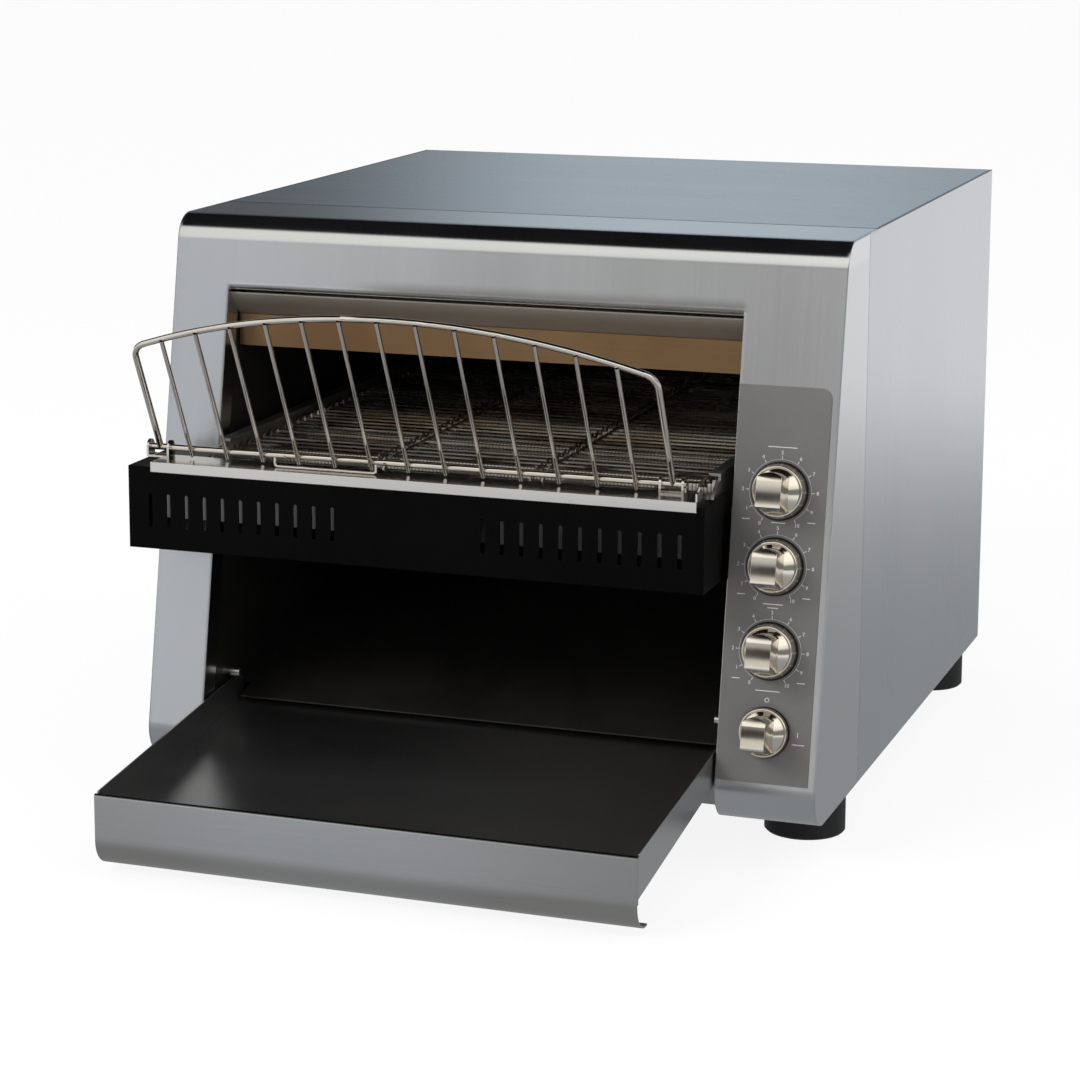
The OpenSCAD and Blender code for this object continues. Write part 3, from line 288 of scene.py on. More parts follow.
@dataclass(frozen=True)
class Finish:
    """A surface finish: a principled shader fed by procedural patterns."""

    name: str
    colour: Colour
    second: Colour
    roughness: float
    metallic: float = 1.0
    spread: float = 0.04
    grain: Grain = Grain.NONE
    bump: float = 0.0
    edge_mm: float = 0.0
    coat: float = 0.0
    specular: float = 0.5
    mottle: Triple = (9.0, 9.0, 9.0)
    strokes: float = 0.4

    def mask(self, graph: NodeGraph) -> Value:
        """Where the second colour shows: slow clouds crossed by the strokes or grit of the surface.

        Args:
            graph: The material's graph.

        Returns:
            The mask.
        """
        clouds = graph.noise(self.mottle, 3.0)
        strokes = graph.noise(self.grain.value, 3.0, 0.6)
        return (clouds * (1 - self.strokes) + strokes * self.strokes).ramp(0.25, 0.75)

    def colours(self, graph: NodeGraph, mask: Value) -> bpy.types.NodeSocket:
        """Base colour of the finish."""
        return graph.blend(mask, self.colour, self.second)

    def shine(self, graph: NodeGraph, mask: Value) -> Value:
        """Roughness of the finish."""
        return (mask - 0.5) * (2 * self.spread) + self.roughness

    def relief(self, graph: NodeGraph) -> Value:
        """Height pattern of the surface, between zero and one."""
        return graph.noise(self.grain.value, 2.0, 0.6)

    def normal(self, graph: NodeGraph) -> bpy.types.NodeSocket | None:
        """Rounded edges and surface relief.

        Args:
            graph: The material's graph.

        Returns:
            The normal socket, or None where the finish has neither.
        """
        out = None
        if self.edge_mm:
            rounded = graph.node("ShaderNodeBevel", {"samples": BEVEL_SAMPLES}, {"Radius": self.edge_mm * MM})
            out = rounded.outputs[0]
        if self.bump:
            inputs: dict[str | int, object] = {
                "Strength": self.bump, "Distance": RELIEF_DEPTH, "Height": self.relief(graph),
            }
            if out is not None:
                inputs["Normal"] = out
            out = graph.node("ShaderNodeBump", {}, inputs).outputs[0]
        return out

    def build(self) -> bpy.types.Material:
        """Makes the material, or finds it if it is already made.

        Returns:
            The material.
        """
        found = bpy.data.materials.get(self.name)
        if found is not None:
            return found
        material = bpy.data.materials.new(self.name)
        material.use_nodes = True
        graph = NodeGraph(material.node_tree)
        mask = self.mask(graph)
        inputs: dict[str | int, object] = {
            "Base Color": self.colours(graph, mask),
            "Metallic": self.metallic,
            "Roughness": self.shine(graph, mask),
            "Coat Weight": self.coat,
            "Specular IOR Level": self.specular,
        }
        normal = self.normal(graph)
        if normal is not None:
            inputs["Normal"] = normal
        shader = graph.node("ShaderNodeBsdfPrincipled", {}, inputs)
        graph.node("ShaderNodeOutputMaterial", {}, {"Surface": shader.outputs[0]})
        material.diffuse_color = (*self.colour, 1.0)
        return material


@dataclass(frozen=True)
class SeamedSteel(Finish):
    """Brushed sheet with painted shade: a dark line along each seam where two panels meet, for the shadow in
    the gap.
    """

    seams: tuple[tuple[str, float, float], ...] = ()
    fade: tuple[float, float] = (0.6, 1.2)
    # Colour of the painted shade in each seam's gap.
    grime: Colour = (0.035, 0.037, 0.04)

    def colours(self, graph: NodeGraph, mask: Value) -> bpy.types.NodeSocket:
        """Base colour with painted shade: darkened within a line's width of each seam, for the shadow in the
        gap.

        Args:
            graph: The material's graph.
            mask: Where the second colour shows.

        Returns:
            The colour socket.
        """
        shade = graph.blend(mask, self.colour, self.second)
        for axis, position, line_mm in self.seams:
            # Painted shade: a dark line along the seam, for the shadow in the gap between panels.
            away = abs(graph.axis(axis) - position)
            line = away.ramp(line_mm * self.fade[0] * MM, line_mm * self.fade[1] * MM, (1.0, 0.0))
            shade = graph.blend(line, shade, self.grime)
        return shade


@dataclass(frozen=True)
class HemmedSteel(Finish):
    """Brushed sheet whose front is folded over at the top, with painted shade: dark over the fold's top and
    dimmer where it curls under and at both ends.
    """

    crest: float = 0.0542
    crest_fade_mm: tuple[float, float] = (1.5, 0.7)
    front: float = -0.3585
    fold_mm: float = 3.4
    fold_fade_mm: float = 0.6
    # Colour of the painted shade over the top of the fold.
    crease: Colour = (0.05, 0.05, 0.05)
    curl: float = 0.0225
    curl_fade_mm: float = 5.0
    curl_share: float = 0.8
    right_end: tuple[float, float] = (0.0, 0.18)
    right_share: float = 0.6
    left_end: tuple[float, float] = (-0.19, -0.06)
    left_share: float = 0.3
    # Colour of the painted shade over the curl and both ends.
    dull: Colour = (0.40, 0.392, 0.38)

    def colours(self, graph: NodeGraph, mask: Value) -> bpy.types.NodeSocket:
        """Base colour with painted shade: dark over the top of the fold and dimmer over the curl and both
        ends.

        Args:
            graph: The material's graph.
            mask: Where the second colour shows.

        Returns:
            The colour socket.
        """
        # Painted shade: dark over the fold's top, dimmer low on the curl and towards both ends.
        across, height = graph.axis("X"), graph.axis("Z")
        high = height.ramp(self.crest - self.crest_fade_mm[0] * MM, self.crest - self.crest_fade_mm[1] * MM)
        back = self.front + (self.fold_mm + self.fold_fade_mm) * MM
        near = graph.axis("Y").ramp(self.front + self.fold_mm * MM, back, (1.0, 0.0))
        fade = self.curl_fade_mm * MM
        low = height.ramp(self.curl - fade, self.curl + fade, (self.curl_share, 0.0))
        aside = across.ramp(*self.right_end, (0.0, self.right_share))
        aside = aside + across.ramp(*self.left_end, (self.left_share, 0.0))
        shade = graph.blend((low + aside).clamp(), graph.blend(mask, self.colour, self.second), self.dull)
        return graph.blend(high * near, shade, self.crease)


@dataclass(frozen=True)
class ScorchedSteel(Finish):
    """Brushed sheet with painted shade in a brown band just above the opening's upper edge, and polished over
    its folded nose.
    """

    edge: float = 0.3539
    lip_mm: tuple[float, float] = (3.0, 2.0)
    rise_mm: float = 7.0
    reach: tuple[float, float] = (-0.12, 0.1686)
    left_fade: float = 0.06
    right_fade: tuple[float, float] = (0.002, 0.004)
    cloud: Triple = (24.0, 24.0, 24.0)
    # Colour of the painted shade above the opening.
    smoke: Colour = (0.16, 0.135, 0.115)
    strength: float = 0.6
    nose: float = 0.3800
    nose_fade_mm: float = 4.0
    top: float = 0.3980
    top_fade_mm: float = 0.9
    top_share: float = 0.4
    polish: float = 0.12

    def colours(self, graph: NodeGraph, mask: Value) -> bpy.types.NodeSocket:
        """Base colour with painted shade: browned just above the opening.

        Args:
            graph: The material's graph.
            mask: Where the second colour shows.

        Returns:
            The colour socket.
        """
        up, across = graph.axis("Z"), graph.axis("X")
        lip = self.edge - self.lip_mm[1] * MM
        # Painted shade: a brown band that darkens the face just above the opening's upper edge.
        smoke = up.ramp(lip, self.edge + self.rise_mm * MM, (1.0, 0.0))
        above = up.ramp(self.edge - self.lip_mm[0] * MM, lip)
        left, right = self.reach
        ends = (right - self.right_fade[0], right + self.right_fade[1])
        span = across.ramp(left, left + self.left_fade) * across.ramp(*ends, (1.0, 0.0))
        cloud = graph.noise(self.cloud, 2.0).ramp(0.2, 0.6, (0.7, 1.0))
        shade = smoke * above * span * cloud * self.strength
        return graph.blend(shade, graph.blend(mask, self.colour, self.second), self.smoke)

    def shine(self, graph: NodeGraph, mask: Value) -> Value:
        """Roughness, less over the nose.

        Args:
            graph: The material's graph.
            mask: Where the second colour shows.

        Returns:
            The roughness.
        """
        height = graph.axis("Z")
        flat = height.ramp(self.top - self.top_fade_mm * MM, self.top, (1.0, self.top_share))
        nose = height.ramp(self.nose, self.nose + self.nose_fade_mm * MM) * flat
        return Finish.shine(self, graph, mask) - nose * self.polish


@dataclass(frozen=True)
class PlatedKnob(Finish):
    """Bright plating with painted shade low on the skirt, for the shaded gap under the knob that it mirrors.
    """

    lean_deg: float = FACE_LEAN_DEG
    foot: tuple[float, float] = FACE_FOOT
    shade_mm: tuple[float, float] = (3.4, 6.4)
    shade: Colour = (0.050, 0.046, 0.042)

    def colours(self, graph: NodeGraph, mask: Value) -> bpy.types.NodeSocket:
        """Base colour with painted shade near the panel.

        Args:
            graph: The material's graph.
            mask: Where the second colour shows.

        Returns:
            The colour socket.
        """
        lean = math.radians(self.lean_deg)
        up, back = graph.axis("Z") - self.foot[1], graph.axis("Y") - self.foot[0]
        out = up * math.sin(lean) - back * math.cos(lean)
        # Painted shade low on the skirt, for the dark gap under the knob.
        near = out.ramp(self.shade_mm[0] * MM, self.shade_mm[1] * MM, (1.0, 0.0))
        return graph.blend(near, graph.blend(mask, self.colour, self.second), self.shade)


@dataclass(frozen=True)
class HeatTint(Finish):
    """Steel coloured by heat: straw and brown films that follow the hot places."""

    film: Colour = (0.20, 0.12, 0.06)
    film_scale: float = 14.0
    film_edge: tuple[float, float] = (0.40, 0.68)

    def colours(self, graph: NodeGraph, mask: Value) -> bpy.types.NodeSocket:
        """Base colour with the heat film over it."""
        film = graph.noise((self.film_scale,) * 3, 4.0, 0.6).ramp(*self.film_edge)
        return graph.blend(film, graph.blend(mask, self.colour, self.second), self.film)


@dataclass(frozen=True)
class BaffleTint(HeatTint):
    """Hood sheet over the belt: taupe on its slope with a painted highlight towards its top, and browner on
    the upright that faces the heat.
    """

    crease: float = 0.3302
    crease_blur: float = 0.0006
    rise: float = 0.006
    crest: float = 0.3560
    slope: Colour = (0.40, 0.34, 0.28)
    # Colour of the painted highlight at the top of the slope.
    lit: Colour = (0.86, 0.82, 0.77)

    def colours(self, graph: NodeGraph, mask: Value) -> bpy.types.NodeSocket:
        """Base colour in two zones, split at the crease, the upper one paler towards its top as painted
        light.

        Args:
            graph: The material's graph.
            mask: Where the second colour shows.

        Returns:
            The colour socket.
        """
        height = graph.axis("Z")
        above = height.ramp(self.crease - self.crease_blur, self.crease + self.crease_blur)
        # Painted light: the slope brightens towards its top.
        pale = graph.blend(height.ramp(self.crease + self.rise, self.crest), self.slope, self.lit)
        return graph.blend(above, HeatTint.colours(self, graph, mask), pale)


@dataclass(frozen=True)
class QuartzTube(Finish):
    """Milky quartz with the turns of a heating coil showing through."""

    pitch_mm: float = 2.6
    turn_edge: tuple[float, float] = (0.2, 0.7)

    def colours(self, graph: NodeGraph, mask: Value) -> bpy.types.NodeSocket:
        """Base colour: coil turns seen through the tube."""
        turns = (graph.axis("X") * (2 * math.pi / (self.pitch_mm * MM))).sine()
        return graph.blend(turns.ramp(*self.turn_edge), self.colour, self.second)


@dataclass(frozen=True)
class WoolMat(Finish):
    """Mineral wool: matted fibres in a board."""

    fibres: Triple = (180.0, 420.0, 420.0)
    crossing: Triple = (420.0, 180.0, 300.0)
    crossing_share: float = 0.4

    def relief(self, graph: NodeGraph) -> Value:
        """Fibres that cross at two scales."""
        along = graph.noise(self.fibres, 5.0, 0.7)
        return along * (1 - self.crossing_share) + graph.noise(self.crossing, 5.0, 0.7) * self.crossing_share


# Seams, each shaded by a painted dark line: the axis they stand across, the place on it and the line's width
# in millimetres.
SIDE_SEAM = ("Y", -0.0735, 0.6)
TOP_SEAM = ("Y", -0.0525, 3.0)
EDGE_SEAMS = (("X", -0.2350, 0.9), ("X", 0.2350, 0.9))
RIM_SEAM = ("Z", 0.3980, 0.6)
# The face, top, side and rear sheets are one brushed stainless: their different base colours and blue tints
# are painted light, shade and reflection, set panel by panel.
STEEL_FACE = ScorchedSteel(
    "brushed_steel_face", (0.522, 0.533, 0.550), (0.555, 0.566, 0.582), 0.25,
    grain=Grain.UP_FACE, bump=0.008, spread=0.02, edge_mm=2.6, mottle=(14.0, 3.0, 3.0), strokes=0.3,
)
STEEL_TOP = SeamedSteel(
    "brushed_steel_top", (0.46, 0.50, 0.535), (0.52, 0.555, 0.585), 0.27,
    grain=Grain.ALONG_X, bump=0.012, spread=0.02, edge_mm=0.7, mottle=(2.5, 26.0, 26.0), strokes=0.3,
    seams=(*EDGE_SEAMS, TOP_SEAM),
)
STEEL_SIDE = SeamedSteel(
    "brushed_steel_side", (0.47, 0.488, 0.515), (0.505, 0.52, 0.545), 0.28,
    grain=Grain.UP_SIDE, bump=0.008, spread=0.02, edge_mm=0.7, mottle=(2.0, 9.0, 1.5), strokes=0.2,
    seams=(SIDE_SEAM, RIM_SEAM),
)
STEEL_REAR = Finish(
    "brushed_steel_rear", (0.40, 0.42, 0.44), (0.44, 0.455, 0.47), 0.30,
    grain=Grain.UP_FACE, bump=0.02, edge_mm=0.7, mottle=(16.0, 2.0, 2.0), strokes=0.35,
)
STEEL_TRAY = HemmedSteel(
    "brushed_steel_tray", (0.60, 0.612, 0.635), (0.66, 0.67, 0.69), 0.30,
    grain=Grain.ALONG_X, bump=0.02, edge_mm=0.7, mottle=(2.0, 14.0, 14.0),
)
STEEL_SHELF = Finish(
    "brushed_steel_shelf", (0.62, 0.61, 0.59), (0.70, 0.69, 0.67), 0.20,
    grain=Grain.ALONG_X, bump=0.02, edge_mm=0.5,
)
STEEL_SHIELD = Finish(
    "brushed_steel_shield", (0.60, 0.60, 0.60), (0.70, 0.70, 0.69), 0.34, grain=Grain.ALONG_X, bump=0.02,
)
MILL_STEEL = Finish(
    "mill_steel", (0.32, 0.32, 0.315), (0.42, 0.418, 0.41), 0.36, spread=0.08, bump=0.06, edge_mm=0.5,
)
OVERLAY = Finish(
    "overlay_film", (0.122, 0.118, 0.114), (0.136, 0.131, 0.127), 0.40,
    metallic=0.0, bump=0.03, edge_mm=0.3, specular=0.35,
)
BLACK_PAINT = Finish(
    "black_enamel", (0.0005, 0.0005, 0.0005), (0.0012, 0.0012, 0.0013), 0.34,
    metallic=0.0, bump=0.03, edge_mm=0.8, specular=0.05,
)
# Near-black steel for the chamber walls, deflector, return ramp and tray rails.
DARK_WALL = Finish(
    "near_black_steel", (0.020, 0.019, 0.018), (0.045, 0.042, 0.038), 0.46, metallic=0.7, spread=0.08, bump=0.06,
)
RUBBER = Finish(
    "foot_rubber", (0.008, 0.008, 0.0085), (0.015, 0.015, 0.015), 0.52,
    metallic=0.0, spread=0.06, bump=0.15, edge_mm=0.8, mottle=(30.0, 30.0, 30.0), specular=0.3,
)
ZINC = Finish(
    "zinc_plate", (0.48, 0.48, 0.46), (0.60, 0.59, 0.57), 0.26,
    spread=0.06, mottle=(60.0, 60.0, 60.0), edge_mm=0.3, bump=0.03,
)
WIRE = Finish(
    "plated_wire", (0.56, 0.52, 0.48), (0.66, 0.62, 0.575), 0.06,
    spread=0.02, mottle=(40.0, 40.0, 40.0), bump=0.01,
)
TURNED = Finish("turned_shaft", (0.42, 0.42, 0.42), (0.52, 0.52, 0.52), 0.24, grain=Grain.TURNED, bump=0.05)
BRONZE = Finish(
    "sintered_bronze", (0.42, 0.27, 0.12), (0.52, 0.36, 0.18), 0.38,
    spread=0.08, bump=0.12, mottle=(80.0, 80.0, 80.0),
)
CHAIN = Finish(
    "oiled_chain", (0.09, 0.085, 0.08), (0.16, 0.155, 0.15), 0.30,
    spread=0.08, mottle=(70.0, 70.0, 70.0), edge_mm=0.2, bump=0.04,
)
BELT = HeatTint(
    "heat_tinted_wire", (0.40, 0.37, 0.34), (0.56, 0.52, 0.48), 0.26,
    spread=0.08, mottle=(25.0, 25.0, 25.0), bump=0.03, film=(0.24, 0.185, 0.145),
)
BAFFLE = BaffleTint(
    "heat_tinted_hood", (0.175, 0.105, 0.050), (0.215, 0.132, 0.066), 0.34,
    metallic=0.8, grain=Grain.ALONG_X, bump=0.03, film=(0.155, 0.088, 0.040), film_scale=6.0,
)
REFLECTOR = HeatTint(
    "bright_reflector", (0.58, 0.58, 0.57), (0.68, 0.68, 0.67), 0.20,
    spread=0.06, grain=Grain.ALONG_X, bump=0.02, film=(0.52, 0.42, 0.28),
)
QUARTZ = QuartzTube(
    "quartz_tube", (0.62, 0.60, 0.55), (0.20, 0.18, 0.16), 0.14,
    metallic=0.0, spread=0.03, coat=0.6, bump=0.02,
)
CERAMIC = Finish(
    "steatite", (0.66, 0.63, 0.57), (0.74, 0.71, 0.66), 0.58,
    metallic=0.0, spread=0.06, bump=0.10, mottle=(50.0, 50.0, 50.0),
)
WOOL = WoolMat(
    "mineral_wool", (0.42, 0.36, 0.22), (0.56, 0.50, 0.34), 0.92,
    metallic=0.0, bump=0.9, mottle=(45.0, 45.0, 45.0),
)
CASTING = Finish(
    "gearmotor_casting", (0.13, 0.13, 0.135), (0.19, 0.19, 0.195), 0.46,
    metallic=0.8, spread=0.08, bump=0.25, mottle=(60.0, 60.0, 60.0), edge_mm=0.8,
)
BLACK_MOULDING = Finish(
    "black_moulding", (0.012, 0.012, 0.0125), (0.020, 0.020, 0.021), 0.40,
    metallic=0.0, spread=0.05, bump=0.10, mottle=(40.0, 40.0, 40.0), edge_mm=0.4,
)
BOARD = Finish(
    "control_board", (0.012, 0.10, 0.045), (0.02, 0.15, 0.07), 0.36,
    metallic=0.0, spread=0.05, mottle=(120.0, 120.0, 120.0), bump=0.05,
)
NICKEL = PlatedKnob(
    "satin_nickel", (0.66, 0.615, 0.545), (0.74, 0.70, 0.63), 0.10,
    spread=0.03, mottle=(35.0, 35.0, 35.0), bump=0.01,
)
TERMINAL = Finish(
    "terminal_moulding", (0.60, 0.54, 0.40), (0.68, 0.62, 0.48), 0.44,
    metallic=0.0, spread=0.05, mottle=(60.0, 60.0, 60.0), edge_mm=0.4, bump=0.05,
)
PRINT = Finish(
    "panel_print", (0.56, 0.55, 0.53), (0.66, 0.65, 0.63), 0.5,
    metallic=0.0, mottle=(400.0, 400.0, 400.0), bump=0.02,
)


def dress(frame: dict, finishes: dict[str, Finish]) -> None:
    """Gives carried-over pieces their finish.

    Args:
        frame: The loaded model.
        finishes: The finish of each piece, by the piece's name.
    """
    for name, finish in finishes.items():
        piece = frame["nodes"][name]
        piece.data.materials.clear()
        piece.data.materials.append(finish.build())
        LOG.info("dressed %s in %s", name, finish.name)


def add_piece(name: str, shape: bmesh.types.BMesh, finish: Finish, body: str) -> bpy.types.Object:
    """Turns a finished shape into a piece that moves with a body.

    Args:
        name: The piece's name.
        shape: Its shape, in place. It is freed.
        finish: Its finish.
        body: The body it rides on.

    Returns:
        The new object.
    """
    bmesh.ops.recalc_face_normals(shape, faces=shape.faces)
    mesh = bpy.data.meshes.new(name)
    shape.to_mesh(mesh)
    shape.free()
    piece = bpy.data.objects.new(name, mesh)
    bpy.context.scene.collection.objects.link(piece)
    piece.data.materials.append(finish.build())
    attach(piece, body)
    LOG.info("built %s: %d faces on %s", name, len(mesh.polygons), body)
    return piece


def in_fixed_order(shape: bmesh.types.BMesh) -> bmesh.types.BMesh:
    """Rebuilds a shape in a fixed order, since bevel and spin leave corners and faces in any order.

    Args:
        shape: The shape. It is freed.

    Returns:
        The same corners and faces, by place. A face of five sides or more starts at its first corner.
    """
    bmesh.ops.recalc_face_normals(shape, faces=shape.faces)
    corners = sorted(shape.verts, key=lambda corner: corner.co[:])
    rank = {corner: number for number, corner in enumerate(corners)}
    rings = []
    for face in shape.faces:
        ring = [rank[corner] for corner in face.verts]
        first = ring.index(min(ring)) if len(ring) > FOUR_SIDED else 0
        rings.append(ring[first:] + ring[:first])
    ordered = bmesh.new()
    placed = [ordered.verts.new(corner.co) for corner in corners]
    for ring in sorted(rings):
        ordered.faces.new([placed[number] for number in ring])
    shape.free()
    return ordered


def smooth_by_angle(piece: bpy.types.Object, limit_deg: float) -> None:
    """Shades a piece smooth, apart from edges sharper than a limit.

    Args:
        piece: The piece.
        limit_deg: The sharpest angle that still looks round.
    """
    mesh = piece.data
    mesh.polygons.foreach_set("use_smooth", [True] * len(mesh.polygons))
    shape = bmesh.new()
    shape.from_mesh(mesh)
    for edge in shape.edges:
        edge.smooth = len(edge.link_faces) == 2 and edge.calc_face_angle(0.0) < math.radians(limit_deg)
    shape.to_mesh(mesh)
    shape.free()


def screw_head(shape: bmesh.types.BMesh, place: Matrix, radius: float, height: float) -> None:
    """Adds a pan head with a cross recess, standing on the XY plane of its place.

    Args:
        shape: The shape it is added to.
        place: Where the head stands, with +Z out of the surface.
        radius: Radius of the head.
        height: Height of the head.
    """
    made = bmesh.ops.create_cone(
        shape, cap_ends=True, segments=HEAD_SIDES, radius1=radius, radius2=radius * HEAD_TAPER, depth=height,
        matrix=place @ Matrix.Translation((0.0, 0.0, height / 2)),
    )
    faces = {f for v in made["verts"] for f in v.link_faces}
    axis = (place.to_3x3() @ Vector((0, 0, 1))).normalized()
    top = [f for f in faces if len(f.verts) > FOUR_SIDED and f.normal.dot(axis) > 0.9]
    rim = [e for f in top for e in f.edges]
    bmesh.ops.bevel(
        shape, geom=rim, offset=height * HEAD_ROUND, offset_type="OFFSET", segments=3, profile=0.5,
        affect="EDGES", material=-1,
    )
    length, width, depth = RECESS_SHARES
    slot = Matrix.Translation((0.0, 0.0, height * RECESS_AT))
    slot = slot @ Matrix.Diagonal((radius * length, radius * width, height * depth, 1.0))
    for turn in (0.0, math.pi / 2):
        bmesh.ops.create_cube(shape, size=1.0, matrix=place @ Matrix.Rotation(turn, 4, "Z") @ slot)


@dataclass
class Shell:
    """Outer sheet metal: bezel, covers, rear panel, base and feet."""

    half_width: float = 0.235
    rear: float = 0.3445
    screw_radius: float = 0.0036
    screw_height: float = 0.0022
    edge_inset: float = 0.0095
    edge_heights: tuple[float, ...] = (0.06, 0.2, 0.372)
    top_height: float = 0.386
    top_places: tuple[float, ...] = (-0.11, 0.0, 0.11)
    finishes: dict[str, Finish] = field(
        default_factory=lambda: {
            "front_bezel": STEEL_FACE,
            "top_cover": STEEL_TOP,
            "side_cover_left": STEEL_SIDE,
            "side_cover_right": STEEL_SIDE,
            "rear_panel": STEEL_REAR,
            "base_pan": MILL_STEEL,
            "feet": RUBBER,
            "foot_screws": ZINC,
        }
    )

    def rear_screws(self) -> None:
        """Pan heads down both edges of the rear panel and along its top."""
        shape = bmesh.new()
        turn = Matrix.Rotation(math.radians(-90), 4, "X")
        edge = self.half_width - self.edge_inset
        spots = [(side * edge, z) for side in (-1, 1) for z in self.edge_heights]
        spots += [(x, self.top_height) for x in self.top_places]
        for x, z in spots:
            place = Matrix.Translation((x, self.rear, z)) @ turn
            screw_head(shape, place, self.screw_radius, self.screw_height)
        add_piece("rear_panel_screws", in_fixed_order(shape), ZINC, "housing")

    def build(self, frame: dict) -> None:
        """Dresses the shell and adds its screws."""
        dress(frame, self.finishes)
        self.rear_screws()


@dataclass
class Feeding:
    """Guard, shelf, load rack, belt and its drive."""

    finishes: dict[str, Finish] = field(
        default_factory=lambda: {
            "burn_guard": BLACK_PAINT,
            "guard_shield": STEEL_SHIELD,
            "feed_shelf": STEEL_SHELF,
            "rack_clips": WIRE,
            "load_rack": WIRE,
            "conveyor_rail_left": MILL_STEEL,
            "conveyor_rail_right": MILL_STEEL,
            "shaft_bushes": BRONZE,
            "wire_belt": BELT,
            "drive_shaft": TURNED,
            "idler_shaft": TURNED,
            "belt_sprockets": MILL_STEEL,
            "idler_rollers": MILL_STEEL,
            "shaft_sprocket": MILL_STEEL,
            "motor_sprocket": MILL_STEEL,
            "drive_chain": CHAIN,
            "gearmotor": CASTING,
            "motor_bracket": MILL_STEEL,
        }
    )

    def build(self, frame: dict) -> None:
        """Dresses the feeding and belt pieces."""
        dress(frame, self.finishes)


@dataclass
class Chamber:
    """Heaters, reflectors, walls and the way back to the tray."""

    finishes: dict[str, Finish] = field(
        default_factory=lambda: {
            "upper_heaters": QUARTZ,
            "lower_heaters": QUARTZ,
            "heater_caps": CERAMIC,
            "upper_reflector": REFLECTOR,
            "lower_reflector": REFLECTOR,
            "insulation": WOOL,
            "feed_baffle": BAFFLE,
            "chamber_wall_left": DARK_WALL,
            "chamber_wall_right": DARK_WALL,
            "rear_deflector": DARK_WALL,
            "return_ramp": DARK_WALL,
            "toast_tray": STEEL_TRAY,
            "tray_studs": ZINC,
            "tray_rails": DARK_WALL,
        }
    )

    def build(self, frame: dict) -> None:
        """Dresses the chamber and the tray."""
        dress(frame, self.finishes)


@dataclass
class Cooling:
    """Fan, terminal block and cable entry at the rear."""

    finishes: dict[str, Finish] = field(
        default_factory=lambda: {
            "fan_frame": BLACK_MOULDING,
            "fan_rotor": BLACK_MOULDING,
            "fan_grille": WIRE,
            "terminal_block": TERMINAL,
            "cord_gland": BLACK_MOULDING,
        }
    )

    def build(self, frame: dict) -> None:
        """Dresses the cooling and entry pieces."""
        dress(frame, self.finishes)


